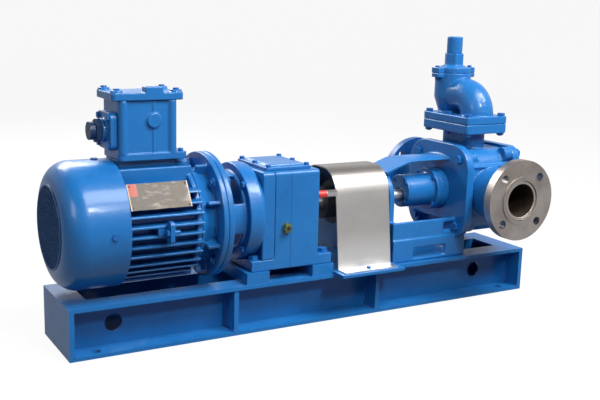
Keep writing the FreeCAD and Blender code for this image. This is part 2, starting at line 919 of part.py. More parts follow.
def gear(label, teeth, phase, x, z, width, bore):
    """A spur gear blank on its own bore, placed on an axis parallel to X."""
    solid = gear_outline(int(value(teeth)), phase).extrude(FreeCAD.Vector(value(width), 0, 0))
    hole = Part.makeCylinder(value(bore), value(width), FreeCAD.Vector(), FreeCAD.Vector(1, 0, 0))
    item = doc.addObject("Part::Feature", label)
    item.Shape = solid.cut(hole)
    item.Placement = FreeCAD.Placement(FreeCAD.Vector(value(x), 0, value(z)), FreeCAD.Rotation())
    return item


def gear_phase(teeth, meets, tooth):
    """The phase that puts a tooth, or a gap, of the gear on the line to its mate."""
    return meets if tooth else meets + math.pi / int(value(teeth))


UP = math.pi / 2
DOWN = -math.pi / 2


def counter_wheel():
    phase = gear_phase("counter_wheel_teeth", UP, False)
    wheel = gear("CounterWheel", "counter_wheel_teeth", phase, FIRST_GEAR, COUNTER_Z,
                 "first_gear_width", "counter_step")
    return node("counter_wheel", wheel)


def output_wheel():
    phase = gear_phase("output_wheel_teeth", DOWN, False)
    wheel = gear("OutputWheel", "output_wheel_teeth", phase, SECOND_GEAR, SHAFT_Z,
                 "second_gear_width", "output_bore + 2")
    return node("output_wheel", wheel)


def countershaft():
    side = "(case_wall + counter_bearing_width / 2)"
    start = f"(case_start + {side} - counter_bearing_width + 1)"
    end = f"({CASE_END} - {side} + counter_bearing_width - 1)"
    ends = rod("X", start, "0", COUNTER_Z, f"{end} - {start}", "counter_bore")
    body = rod("X", FIRST_GEAR, "0", COUNTER_Z, f"{SECOND_GEAR} + second_gear_width - {FIRST_GEAR}",
               "counter_step")
    teeth = gear("CounterPinion", "counter_pinion_teeth", gear_phase("counter_pinion_teeth", UP, True),
                 SECOND_GEAR, COUNTER_Z, "second_gear_width", "counter_bore + 1")
    return node("countershaft", join([ends, body, teeth]))


def input_pinion():
    phase = gear_phase("pinion_teeth", DOWN, True)
    return gear("InputPinion", "pinion_teeth", phase, FIRST_GEAR, MOTOR_Z, "first_gear_width", "8")


def output_shaft():
    start = f"({SECOND_GEAR} - 2)"
    wheel_end = f"({SECOND_GEAR} + second_gear_width)"
    run = f"{SPIDER} - {start}"
    collar = f"({wheel_end} - {start})"
    points = [("0", "0"), ("0", "output_bore + 2"), (collar, "output_bore + 2"),
              (collar, "output_bore"), (run, "output_bore"), (run, "0")]
    return node("output_shaft", turned("X", start, "0", SHAFT_Z, points))


def gearbox_bearings():
    side = "(case_wall + counter_bearing_width / 2)"
    inner = f"({BOSS_END} - 2 * output_bearing_width - seal_width - bearing_shoulder)"
    parts = [
        ring("X", f"case_start + {side} - counter_bearing_width", "0", COUNTER_Z,
             "counter_bearing_width", "counter_bearing", "counter_bore + running_fit"),
        ring("X", f"{CASE_END} - {side}", "0", COUNTER_Z,
             "counter_bearing_width", "counter_bearing", "counter_bore + running_fit"),
        ring("X", inner, "0", SHAFT_Z, "output_bearing_width", "output_bearing",
             "output_bore + running_fit"),
        ring("X", f"{BOSS_END} - seal_width - output_bearing_width", "0", SHAFT_Z,
             "output_bearing_width", "output_bearing", "output_bore + running_fit"),
    ]
    return node("gearbox_bearings", group(parts))


# Motor: finned frame, end shields, fan cowl, wound stator and terminal box
def motor_frame():
    start = FRAME
    shell = rod("X", start, "0", MOTOR_Z, "frame_length", "frame_bore + frame_wall")
    fins = []
    for side in (-1, 1):
        for step in (0.5, 1.5, 2.5, 3.5):
            for sign in (-1, 1):
                z = f"{MOTOR_Z} + {sign * step} * fin_pitch - fin_thick / 2"
                y = "0" if side > 0 else "-fin_reach"
                fins.append(block(start, y, z, "frame_length", "fin_reach", "fin_thick"))
        for step in (0.5, 1.5, 2.5):
            for sign in (-1, 1):
                y = f"{sign * step} * fin_pitch - fin_thick / 2"
                z = MOTOR_Z if side > 0 else f"{MOTOR_Z} - fin_reach"
                fins.append(block(start, y, z, "frame_length", "fin_thick", "fin_reach"))
    fins.append(polar_block(90 - int(value("nameplate_angle")), "box_centre - nameplate_seat_length / 2",
                            MOTOR_Z, "0", "nameplate_seat_length", "nameplate_seat_width",
                            "fin_reach + nameplate_seat_rise"))
    limit = rod("X", start, "0", MOTOR_Z, "frame_length", "fin_reach")
    finned = overlap(join(fins), limit)
    seat = middle_block("box_centre - box_length / 2", "0", MOTOR_Z, "box_length",
                        "box_width - box_seat_inset",
                        "box_seat")
    rim = rod("X", f"{SHIELD} - frame_rim", "0", MOTOR_Z, "frame_rim", "frame_rim_radius")
    lug = polar_block(90, "box_centre - lug_seat_drop", MOTOR_Z, "0", "lug_seat_length", "lug_seat_width",
                      "fin_reach - lug_seat_drop")
    bore = rod("X", start, "0", MOTOR_Z, "frame_length", "frame_bore")
    return node("motor_frame", cut(join([shell, finned, seat, rim, lug]), [bore]))


def front_shield():
    """Drive end shield: a coned shell with ribs, a bearing seat and the round mounting flange."""
    run = "shield_length"
    edge = "(shield_length - flange_thick)"
    hub = "(motor_bearing + bearing_wall)"
    seat = "(motor_bearing_width + bearing_back)"
    points = [("0", "frame_bore"), ("0", "shield_start_radius"), ("shield_knee", "shield_knee_radius"),
              (edge, "shield_neck"), (edge, "flange_radius"), (run, "flange_radius"),
              (run, f"{hub} + shield_hub_wall"), (f"{edge} + 2", f"{hub} + shield_hub_wall"),
              (f"{edge} + 2", "shaft_opening"),
              (seat, "shaft_opening"), (seat, "motor_bearing"), ("bearing_back", "motor_bearing"),
              ("bearing_back", hub),
              (f"{edge} - 6", hub), (f"{edge} - 6", "shield_neck - shield_wall"),
              ("shield_knee", "shield_neck - shield_wall + 2")]
    shell = turned("X", SHIELD, "0", MOTOR_Z, points)
    ribs = [polar_block(45 * k + 22.5, f"{SHIELD} + shield_rib_start", MOTOR_Z, "shield_neck - 3",
                        f"{edge} - shield_rib_start", "shield_rib", "fin_reach - shield_neck")
            for k in range(8)]
    holes = [rod("X", f"{SHIELD} + {edge}", f"flange_pitch_radius * cos({a})",
                 f"{MOTOR_Z} + flange_pitch_radius * sin({a})", "flange_thick",
                 "flange_bolt + bolt_clearance")
             for a in (45, 135, 225, 315)]
    return node("front_shield", cut(join([shell] + ribs), holes))


def rear_shield():
    hub = "(motor_bearing + bearing_wall)"
    start = f"({FRAME} - rear_shield_thick)"
    seat = "(motor_bearing_width + 2)"
    plate = ring("X", start, "0", MOTOR_Z, "rear_shield_thick", "rear_shield_radius", "motor_bearing")
    boss = ring("X", f"{FRAME} - {seat}", "0", MOTOR_Z, seat, hub, "motor_bearing")
    lugs = [polar_block(90 * k, f"{FRAME} - cowl_lug", MOTOR_Z, "rear_shield_radius - 6", "cowl_lug",
                        "20", "cowl_radius - cowl_wall - rear_shield_radius + 5.5") for k in range(4)]
    lip = ring("X", f"{FRAME} - seal_width - {seat}", "0", MOTOR_Z, "seal_width", hub, "motor_bore + 1")
    return node("rear_shield", join([plate, boss, lip] + lugs))


def stator_core():
    x = f"{FRAME} + (frame_length - stator_length) / 2"
    return node("stator_core", ring("X", x, "0", MOTOR_Z, "stator_length", "frame_bore", "stator_bore"))


def stator_windings():
    """Two bundled end turns, one on each face of the core."""
    start = f"({FRAME} + (frame_length - stator_length) / 2)"
    inner = "stator_bore + winding_wall"
    outer = "frame_bore - winding_inset"
    chamfer = "(stator_bore + winding_wall + winding_chamfer)"
    left = [("0", chamfer), ("winding_chamfer", inner), ("winding_length", inner), ("winding_length", outer),
            ("winding_chamfer", outer), ("0", "frame_bore - winding_inset - winding_chamfer")]
    right = [("0", inner), ("winding_length - winding_chamfer", inner), ("winding_length", chamfer),
             ("winding_length", "frame_bore - winding_inset - winding_chamfer"),
             ("winding_length - winding_chamfer", outer), ("0", outer)]
    return node("stator_windings", group([
        turned("X", f"{start} - winding_length", "0", MOTOR_Z, left),
        turned("X", f"{start} + stator_length", "0", MOTOR_Z, right),
    ]))


def rotor_core():
    """Laminated rotor with short-circuit rings, pressed on the motor shaft."""
    x = f"({FRAME} + (frame_length - stator_length) / 2)"
    core = rod("X", x, "0", MOTOR_Z, "stator_length", "stator_bore - air_gap")
    rings = [rod("X", f"{x} - end_ring", "0", MOTOR_Z, "end_ring", "stator_bore - end_ring_inset"),
             rod("X", f"{x} + stator_length", "0", MOTOR_Z, "end_ring",
                 "stator_bore - end_ring_inset")]
    bore = rod("X", f"{x} - end_ring", "0", MOTOR_Z, "stator_length + 2 * end_ring", "motor_shaft_body")
    return node("rotor_core", cut(join([core] + rings), [bore]))


def motor_shaft():
    """Stepped shaft from the fan to the pinion that is cut on its end."""
    start = f"({COWL} + cowl_wall + fan_gap + 4)"
    first = f"({FRAME} - {start})"
    last = f"({SHIELD} - {start} + 4)"
    end = f"({FIRST_GEAR} + first_gear_width - {start})"
    points = [("0", "0"), ("0", "motor_bore - 2"), (f"{first} - 26", "motor_bore - 2"),
              (f"{first} - 26", "motor_bore"), (first, "motor_bore"), (first, "motor_shaft_body"),
              (last, "motor_shaft_body"), (last, "motor_bore"), (f"{last} + 30", "motor_bore"),
              (f"{last} + 30", "motor_bore - 2"), (f"{FIRST_GEAR} - {start} - 1", "motor_bore - 2"),
              (f"{FIRST_GEAR} - {start} - 1", "12"), (end, "12"), (end, "0")]
    return node("motor_shaft", join([turned("X", start, "0", MOTOR_Z, points), input_pinion()]))


def motor_bearings():
    rear = f"{FRAME} - motor_bearing_width - 2"
    front = f"{SHIELD} + 4"
    return node("motor_bearings", group([
        ring("X", x, "0", MOTOR_Z, "motor_bearing_width", "motor_bearing", "motor_bore + running_fit")
        for x in (rear, front)
    ]))


def fan_cowl():
    """Pressed cowl with a rounded shoulder and a barred air inlet."""
    inner = "cowl_radius - cowl_wall"
    points = [("0", "0"), ("0", "cowl_radius"), ("cowl_length", "cowl_radius"), ("cowl_length", inner),
              ("cowl_wall", inner), ("cowl_wall", "0")]
    shell = turned("X", COWL, "0", MOTOR_Z, points)
    corner = value("cowl_radius")
    thin = value("cowl_wall")

    def at_corner(edge, along, radius):
        box = edge.BoundBox
        return box.XLength < 0.01 and abs(box.XMin - along) < 0.01 and abs(box.YLength / 2 - radius) < 0.01

    soften(shell, "cowl_round", lambda edge: at_corner(edge, 0, corner))
    soften(shell, "cowl_round - cowl_wall", lambda edge: at_corner(edge, thin, corner - thin))
    inlet = rod("X", COWL, "0", MOTOR_Z, "cowl_wall", "grille_radius")
    bars = []
    for k in range(-6, 7):
        y = f"{k} * grille_pitch - grille_bar / 2"
        bars.append(block(COWL, y, f"{MOTOR_Z} - grille_radius", "cowl_wall", "grille_bar",
                          "2 * grille_radius"))
    for k in range(-3, 4):
        z = f"{MOTOR_Z} + {2 * k} * grille_pitch - grille_bar / 2"
        bars.append(block(COWL, "-grille_radius", z, "cowl_wall", "2 * grille_radius", "grille_bar"))
    reach = rod("X", COWL, "0", MOTOR_Z, "cowl_wall", "grille_radius + 1")
    return node("fan_cowl", join([cut(shell, [inlet]), overlap(join(bars), reach)]))


def cooling_fan():
    start = f"({COWL} + cowl_wall + fan_gap)"
    hub = rod("X", start, "0", MOTOR_Z, "fan_width + 4", "fan_hub")
    back = rod("X", f"{start} + fan_width + 1", "0", MOTOR_Z, "fan_back", "fan_back_radius")
    count = int(value("fan_blades"))
    blades = [polar_block(360 / count * k, start, MOTOR_Z, "motor_bore", "fan_width + 2", "fan_blade",
                          "fan_radius - motor_bore") for k in range(count)]
    bore = rod("X", f"{start} + 4", "0", MOTOR_Z, "fan_width", "motor_bore - 2")
    return node("cooling_fan", cut(join([hub, back] + blades), [bore]))


def nameplate():
    """A bare plate fixed across the fins of the frame."""
    item = doc.addObject("Part::Box", "Nameplate")
    angle = "nameplate_angle"
    turn = FreeCAD.Rotation(FreeCAD.Vector(1, 0, 0), 90 - value(angle))
    item.Placement = FreeCAD.Placement(FreeCAD.Vector(), turn)
    tie(item, "Length", "nameplate_length")
    tie(item, "Width", "nameplate_width")
    tie(item, "Height", "nameplate_thick")
    reach = "fin_reach"
    y = f"-{reach} * cos({angle}) - nameplate_width / 2 * sin({angle})"
    z = f"{MOTOR_Z} + {reach} * sin({angle}) - nameplate_width / 2 * cos({angle})"
    place(item, "box_centre - nameplate_length / 2", y, z)
    return node("nameplate", item)


def earth_lug():
    x = "(box_centre + lug_shift)"
    y = "-fin_reach + lug_seat_drop"
    boss = block(f"{x} - lug_length / 2", f"{y} - lug_boss_thick", f"{MOTOR_Z} - lug_boss", "lug_length",
                 "lug_boss_thick", "2 * lug_boss")
    ear = rounded("X", x, f"{y} - lug_seat_drop - lug_reach / 2", MOTOR_Z, "lug_thick", "lug_reach",
                  "lug_height",
                  "lug_thick")
    screw = bolt("X", 1, x, f"{y} - lug_boss_thick - lug_reach / 2", MOTOR_Z, "lug_screw_length",
                 "lug_screw")
    return node("earth_lug", join([boss, ear, screw]))


def terminal_box():
    seat = f"({MOTOR_Z} + box_seat)"
    flange = rounded("Z", seat, "box_centre + box_flange_shift", "0", "box_flange_thick",
                     "box_flange_length", "box_flange_width", "box_flange_round")
    shell = rounded("Z", f"{seat} + box_flange_thick", "box_centre", "0", "box_height", "box_length",
                    "box_width", "box_round")
    cavity = middle_block("box_centre - box_length / 2 + box_wall", "0", f"{seat} + box_flange_thick",
                          "box_length - 2 * box_wall", "box_width - 2 * box_wall", "box_height")
    boss_z = f"{seat} + box_flange_thick + box_height / 2 + box_boss_rise"
    boss = rod("Y", "box_centre + box_boss_shift", "-box_width / 2 - box_boss_height", boss_z,
               "box_boss_height + 1", "box_boss")
    rib = block("box_centre + box_boss_shift - box_rib / 2", "-box_width / 2 - box_rib_height",
                f"{seat} + box_flange_thick", "box_rib", "box_rib_height + 1", "box_height")
    posts = []
    for dx in (-1, 1):
        for dy in (-1, 1):
            x = f"box_centre + {dx} * (box_length / 2 - box_post)"
            y = f"{dy} * (box_width / 2 - box_post_edge)"
            posts.append(rod("Z", x, y, f"{seat} + box_flange_thick", "box_height", "box_post"))
    hole = rod("X", f"box_centre - box_length / 2", "0", ENTRY_Z, "box_wall", "cable_thread")
    return node("terminal_box", cut(join([flange, cut(shell, [cavity]), boss, rib] + posts), [hole]))


ENTRY_Z = f"({MOTOR_Z} + box_seat + box_flange_thick + entry_plate_height / 2 + entry_plate_rise)"


def terminal_lid():
    top = f"({MOTOR_Z} + box_seat + box_flange_thick + box_height)"
    parts = [rounded("Z", top, "box_centre", "0", "lid_thick", "lid_length", "lid_width",
                     "lid_round")]
    for dx in (-1, 1):
        for dy in (-1, 1):
            x = f"box_centre + {dx} * (lid_length / 2 - lid_corner)"
            parts.append(rod("Z", x, f"{dy} * (lid_width / 2 - lid_corner)", top,
                             "lid_thick + lid_boss_rise", "lid_boss"))
    parts.append(block("box_centre - lid_pad_shift", "-lid_width / 2", top, "lid_pad_length",
                       "lid_pad_width",
                       "lid_thick + lid_pad_rise"))
    return node("terminal_lid", join(parts))


def cable_entry_plate():
    x = "(box_centre - box_length / 2 - entry_plate_thick)"
    z = ENTRY_Z
    plate = rounded("X", x, "0", z, "entry_plate_thick", "entry_plate_width", "entry_plate_height",
                    "entry_plate_round")
    boss = rod("X", f"{x} - entry_boss", "0", z, "entry_boss", "cable_plug_radius + entry_boss_wall")
    hole = rod("X", f"{x} - entry_boss", "0", z, "entry_plate_thick + entry_boss", "cable_thread")
    return node("cable_entry_plate", cut(join([plate, boss]), [hole]))


def cable_plug():
    x = "(box_centre - box_length / 2 - entry_plate_thick - entry_boss)"
    z = ENTRY_Z
    head = hexagon("X", f"{x} - cable_plug_length + cable_plug_cap", "0", z,
                   "cable_plug_length - cable_plug_cap", "cable_plug_corner")
    cap = rod("X", f"{x} - cable_plug_length", "0", z, "cable_plug_cap", "cable_plug_radius")
    stem = rod("X", x, "0", z, "entry_plate_thick", "cable_thread")
    return node("cable_plug", join([head, cap, stem]))


# Adaptor: lantern casting between the motor flange and the gearcase
def motor_adaptor():
    neck = "(adaptor_flange + adaptor_neck)"
    run = f"({neck} + adaptor_ring)"
    bore = "adaptor_bore"
    narrow = "(adaptor_neck_radius - adaptor_wall)"
    points = [("0", bore), ("0", "flange_radius"), ("adaptor_flange", "flange_radius"),
              ("adaptor_flange", "adaptor_neck_radius"), (neck, "adaptor_neck_radius"),
              (neck, "adaptor_ring_radius"), (f"{run} - 8", "adaptor_ring_radius"),
              (run, "adaptor_ring_radius - adaptor_chamfer"), (run, "motor_bearing"),
              (neck, "motor_bearing"),
              (neck, narrow),
              ("adaptor_flange", narrow), ("adaptor_flange", bore)]
    shell = turned("X", ADAPTOR, "0", MOTOR_Z, points)
    windows = [polar_block(45 + 90 * k, f"{ADAPTOR} + adaptor_flange + adaptor_window_edge", MOTOR_Z,
                           f"{narrow} - 20", "adaptor_neck - 2 * adaptor_window_edge", "adaptor_window",
                           "adaptor_window_depth") for k in range(4)]
    holes = [rod("X", ADAPTOR, f"flange_pitch_radius * cos({a})",
                 f"{MOTOR_Z} + flange_pitch_radius * sin({a})", "adaptor_flange",
                 "flange_bolt + bolt_clearance")
             for a in (45, 135, 225, 315)]
    holes += [rod("X", "case_start - adaptor_ring", f"ring_pitch_radius * cos({a})",
                  f"{MOTOR_Z} + ring_pitch_radius * sin({a})", "adaptor_ring", "ring_bolt")
              for a in (45, 135, 225, 315)]
    holes += [rod("Z", GEAR_FEET[0], f"{s} * foot_bolt_row / 2", f"{PAD_TOP} + foot_thick", "spot_face",
                  "spot_face") for s in (-1, 1)]
    return node("motor_adaptor", cut(shell, windows + holes))


def flange_bolts():
    """Four through bolts with nuts on the motor flange and four bolts on the gearcase ring."""
    x = f"({ADAPTOR} + adaptor_flange)"
    grip = "(flange_thick + adaptor_flange)"
    parts = []
    for angle in (45, 135, 225, 315):
        y = f"flange_pitch_radius * cos({angle})"
        z = f"{MOTOR_Z} + flange_pitch_radius * sin({angle})"
        through = bolt("X", -1, x, y, z, f"{grip} + 8", "flange_bolt")
        nut = hexagon("X", f"{x} - {grip} - nut_thick", y, z, "nut_thick", "bolt_corner_ratio * flange_bolt")
        parts.append(join([through, nut]))
        y = f"ring_pitch_radius * cos({angle})"
        z = f"{MOTOR_Z} + ring_pitch_radius * sin({angle})"
        parts.append(bolt("X", 1, "case_start - adaptor_ring", y, z, "adaptor_ring + case_wall - 2",
                          "ring_bolt"))
    return node("flange_bolts", group(parts))


# Coupling: two jawed hubs around an elastic spider
def sector(x, z, length, outer, inner, centre, sweep):
    """Part of a ring about the X-parallel axis at height z."""
    pieces = []
    for radius, angle, start in ((outer, sweep, centre - sweep / 2), (inner, 360, 0)):
        item = rod("X", x, "0", z, length, radius, angle)
        spin = FreeCAD.Rotation(FreeCAD.Vector(1, 0, 0), start)
        item.Placement.Rotation = spin.multiply(TURN["X"])
        pieces.append(item)
    return cut(pieces[0], [pieces[1]])


def coupling_hubs():
    hubs = []
    jaws = "jaw_inner + 1"
    for x, boss_x, jaw_x, bore, turn in (
        (f"{SPIDER} - hub_length / 2", DRIVE_HUB, SPIDER, "output_bore", 0),
        (DRIVEN_HUB, DRIVEN_HUB, SPIDER, "coupling_bore_pump", 60),
    ):
        parts = [
            rod("X", boss_x, "0", SHAFT_Z, "hub_length", "hub_boss"),
            rod("X", x, "0", SHAFT_Z, "hub_length / 2", "hub_radius"),
        ]
        for k in range(int(value("jaws"))):
            parts.append(sector(jaw_x, SHAFT_Z, "spider_width", "hub_radius", jaws,
                                turn + 360 / value("jaws") * k,
                                value("jaw_sweep")))
        bore_rod = rod("X", boss_x, "0", SHAFT_Z, "hub_length", bore)
        hubs.append(cut(join(parts), [bore_rod]))
    return node("coupling_hubs", group(hubs))


def coupling_spider():
    arms = [ring("X", SPIDER, "0", SHAFT_Z, "spider_width", "jaw_inner + 1", "spider_bore")]
    for k in range(6):
        arms.append(sector(SPIDER, SHAFT_Z, "spider_width", "hub_radius - spider_clearance", "jaw_inner",
                           30 + 60 * k, value("spider_sweep")))
    return node("coupling_spider", join(arms))


GUARD = f"({DRIVE_HUB} - 2)"


def coupling_guard():
    """Bent sheet hood with leaning sides, a round top and outward feet."""
    edge = "guard_half_foot + guard_lip"
    lean = "(guard_half_foot - guard_half_top) / guard_height"
    foot_in = "guard_half_foot - guard_sheet"
    top_in = "guard_half_top - guard_sheet"
    over = "guard_height - guard_sheet"
    half = [("0", "0"), ("0", "guard_sheet"), ("guard_lip", "guard_sheet"),
            (f"{edge} - guard_half_top", "guard_height")]
    mirror = [(f"2 * ({edge}) - ({u})", v) for u, v in reversed(half)]
    inside = [(f"{edge} + {foot_in}", "0"), (f"{edge} + {top_in}", over),
              (f"{edge} - ({top_in})", over), (f"{edge} - ({foot_in})", "0")]
    body = padded("YZ_Plane", GUARD, f"-({edge})", "base_height + support_thick", half + mirror + inside,
                  "guard_length")
    top = value("guard_height")

    def along_top(edge, drop):
        box = edge.BoundBox
        return box.XLength > 10 and abs(box.ZMax - top + drop) < 0.01 and box.YLength < 0.01

    soften(body, "guard_round", lambda edge: along_top(edge, 0))
    soften(body, "guard_round - guard_sheet", lambda edge: along_top(edge, value("guard_sheet")))
    holes = [rod("Z", GUARD_BOLT_X, f"{s} * {GUARD_BOLT_Y}", "base_height + support_thick",
                 "guard_sheet", "cover_screw + screw_clearance") for s in (-1, 1)]
    return node("coupling_guard", cut(body, holes))


GUARD_BOLT_X = f"({GUARD} + guard_length / 2)"
GUARD_BOLT_Y = "(guard_half_foot + guard_lip / 2)"


def guard_support_plate():
    plate = middle_block(f"{GUARD} - support_overhang", "0", "base_height",
                         "guard_length + support_overhang + support_overhang_pump", "support_width",
                         "support_thick")
    holes = [rod("Z", GUARD_BOLT_X, f"{s} * {GUARD_BOLT_Y}", "base_height", "support_thick",
                 "cover_screw") for s in (-1, 1)]
    return node("guard_support_plate", cut(plate, holes))


# Pump bracket: window pedestal, arched yoke and the square plate that carries the casing
def pump_bracket():
    width = "pedestal_width"
    lower = middle_block(PUMP_START, "0", "base_height", "pedestal_length", width, "pedestal_shoulder")
    upper = middle_block(PUMP_START, "0", "base_height", "pedestal_length - pedestal_step",
                         f"{width} - 2 * pedestal_step", "pedestal_height")
    start = "(base_height + pedestal_height)"
    roof_top = f"({SHAFT_Z} + yoke_crown)"
    crown = f"({roof_top} - yoke_drop - yoke_half_width)"
    hollow = "(yoke_half_width - yoke_wall)"
    arch = join([
        middle_block(BRACKET, "0", f"{start} - yoke_foot", "yoke_frame", "2 * yoke_half_width",
                     f"{crown} - {start} + yoke_foot"),
        rod("X", BRACKET, "0", crown, "yoke_frame", "yoke_half_width"),
    ])
    arch = cut(arch, [
        middle_block(BRACKET, "0", start, "yoke_frame", f"2 * {hollow}", f"{crown} - {start}"),
        rod("X", BRACKET, "0", crown, "yoke_frame", hollow),
    ])
    low = "-yoke_drop"
    sloped = padded("XZ_Plane", BRACKET, "roof_half_width", roof_top,
                    [("0", f"{low} - yoke_wall"), ("yoke_slope", "-yoke_wall"),
                     ("yoke_length", "-yoke_wall"), ("yoke_length", "0"), ("yoke_slope", "0"),
                     ("0", low)], "2 * roof_half_width")
    curved = rod("X", BRACKET, "0", f"{roof_top} - roof_curve", "yoke_length", "roof_curve")
    yoke = join([arch, overlap(sloped, curved)])
    plate = rounded("X", PLATE, "0", PUMP_Z, "plate_thick", "plate_size", "plate_size", "plate_round")
    room = middle_block(f"{PUMP_START} + pedestal_wall", "0", "base_height + pedestal_floor",
                        "pedestal_length - 2 * pedestal_wall - pedestal_step",
                        f"{width} - 2 * pedestal_wall", "pedestal_height - 2 * pedestal_wall")
    opening = middle_block(f"{PUMP_START} + pedestal_window_inset", "0", "base_height + pedestal_floor",
                           "pedestal_length - 2 * pedestal_window_inset", f"{width} + 2",
                           "pedestal_window_height")
    inner = f"({PUMP_START} + pedestal_wall)"
    well = block(inner, f"-({width} / 2 - pedestal_wall)", f"{start} - pedestal_well", f"{PLATE} - {inner}",
                 f"{width} - pedestal_wall + 1", "pedestal_well + 1")
    bore = rod("X", PLATE, "0", PUMP_Z, "plate_thick", "cover_boss")
    tools = [room, opening, bore]
    tools += [rod("Z", x, f"{s} * {PUMP_ROW} / 2", "base_height", "pedestal_floor", "foot_bolt_hole")
              for x in PUMP_FEET for s in (-1, 1)]
    tools += [rod("X", PLATE, y, z, "plate_thick", "casing_bolt + bolt_clearance") for y, z in FRONT_CORNERS]
    tools += [rod("X", f"{PLATE} - spot_face_depth", y, z, "spot_face_depth", "spot_face")
              for y, z in FRONT_CORNERS]
    clear = middle_block(CASING, "0", f"{PUMP_Z} - casing_half_height - 4", "pedestal_length",
                         "2 * casing_half_width", "2 * casing_half_height")
    return node("pump_bracket", cut(cut(join([lower, upper, yoke, plate]), [clear, well]), tools))


FRONT_CORNERS = [(f"{a} * (casing_half_width - plate_corner)",
                  f"{PUMP_Z} + {b} * (casing_half_height - plate_corner)")
                 for a in (-1, 1) for b in (-1, 1)]
REAR_CORNERS = [(f"{a} * (rear_plate_size / 2 - rear_plate_corner)",
                 f"{PUMP_Z} + {b} * (rear_plate_size / 2 - rear_plate_corner)")
                for a in (-1, 1) for b in (-1, 1)]


def front_cover():
    """Boss, disc and spigot between the bearing housing and the pumping chamber."""
    web = "(crank_web_thick + web_gap)"
    boss = rod("X", COVER_BOSS, "0", PUMP_Z, "cover_boss_length + plate_thick", "cover_boss")
    disc = rod("X", CASING, "0", PUMP_Z, "cover_recess", "cover_recess_radius")
    nose = rod("X", f"{CASING} + cover_recess", "0", PUMP_Z, "spigot", "drum_radius + drum_gap")
    tools = [
        rod("X", COVER_BOSS, "0", SHAFT_Z, "cover_boss_length - packing_back",
            "pump_shaft_body + packing_wall"),
        rod("X", COVER_BOSS, "0", SHAFT_Z, "cover_boss_length + plate_thick", FRONT_BUSH),
        rod("X", f"{CHAMBER} - {web}", "0", SHAFT_Z, web, "crank_web + 1"),
    ]
    return node("front_cover", cut(join([boss, disc, nose]), tools))


FRONT_BUSH = "(pump_shaft_body + bush_wall)"


def bearing_housing():
    flange = f"({COVER_BOSS} - housing_flange_thick)"
    shell = rod("X", HOUSING, "0", PUMP_Z, "housing_length", "housing_radius")
    rim = rod("X", flange, "0", PUMP_Z, "housing_flange_thick", "housing_flange")
    bore = rod("X", HOUSING, "0", SHAFT_Z, "housing_length", "pump_bearing")
    spacer = "(housing_length - 2 * pump_bearing_width - 8)"
    sleeve = ring("X", f"{HOUSING} + 4 + pump_bearing_width", "0", SHAFT_Z, spacer, "pump_bearing",
                  "pump_bearing - pump_bearing_lip")
    return node("bearing_housing", join([cut(join([shell, rim]), [bore]), sleeve]))


def bearing_cap():
    x = f"({HOUSING} - housing_cap)"
    plate = rod("X", x, "0", PUMP_Z, "housing_cap", "housing_radius")
    lip = rod("X", HOUSING, "0", SHAFT_Z, "4", "pump_bearing")
    bore = rod("X", x, "0", SHAFT_Z, "housing_cap + 4", "pump_bore + 2")
    return node("bearing_cap", cut(join([plate, lip]), [bore]))


def pump_bearings():
    first = f"{HOUSING} + 4"
    second = f"{COVER_BOSS} - 4 - pump_bearing_width"
    return node("pump_bearings", group([
        ring("X", x, "0", SHAFT_Z, "pump_bearing_width", "pump_bearing", "pump_bore + running_fit")
        for x in (first, second)
    ]))


def shaft_seals():
    """Lip seals at the gearbox output and the pump shaft packing."""
    pump = "packing_length"
    return node("shaft_seals", group([
        ring("X", "case_start + 2", "0", MOTOR_Z, "seal_width", "motor_bearing",
             "motor_bore - 2 + running_fit"),
        ring("X", f"{BOSS_END} - seal_width", "0", SHAFT_Z, "seal_width", "output_bearing",
             "output_bore + running_fit"),
        ring("X", f"{COVER_BOSS} + packing_front", "0", SHAFT_Z, pump, "pump_shaft_body + packing_wall",
             "pump_shaft_body + running_fit"),
    ]))


def pump_bushes():
    """Bronze bushes for the crank shaft and for the drum's stub."""
    stub = "(drum_stub + bush_wall)"
    return node("pump_bushes", group([
        ring("X", f"{PLATE} - 4", "0", SHAFT_Z, "bush_length", FRONT_BUSH,
             "pump_shaft_body + running_fit"),
        ring("X", f"{REAR_FACE} + 2", "0", PUMP_Z, "bush_length", stub, "drum_stub + running_fit"),
    ]))


REAR_FACE = f"({CASING_END} - rear_spigot)"


def crank_shaft():
    """Pump shaft that ends in a web with an eccentric pin."""
    start = DRIVEN_HUB
    seat = f"({HOUSING} - {start} - 2)"
    body = f"({COVER_BOSS} - {start} + 2)"
    web = f"({CHAMBER} - web_face_gap - crank_web_thick - {start})"
    face = f"({CHAMBER} - web_face_gap - {start})"
    points = [("0", "0"), ("0", "coupling_bore_pump"), (seat, "coupling_bore_pump"), (seat, "pump_bore"),
              (body, "pump_bore"), (body, "pump_shaft_body"), (web, "pump_shaft_body"),
              (web, "crank_web"), (face, "crank_web"), (face, "0")]
    shaft = turned("X", start, "0", SHAFT_Z, points)
    pin = rod("X", f"{CHAMBER} - 2", "0", PIN_Z, "drum_length - drum_back", "crank_pin")
    return node("crank_shaft", join([shaft, pin]))


def rotor_drum():
    """Drum with a slot across it for the shuttle block, open to the front, and a stub behind."""
    x = f"({CHAMBER} + drum_gap)"
    body = rod("X", x, "0", PUMP_Z, "drum_length", "drum_radius")
    stub = rod("X", f"{x} + drum_length", "0", PUMP_Z, "drum_stub_length", "drum_stub")
    slot = middle_block(x, "0", f"{PUMP_Z} - drum_radius - 1", "drum_length - drum_back", "slot_width",
                        "2 * drum_radius + 2")
    return node("rotor_drum", cut(join([body, stub]), [slot]))


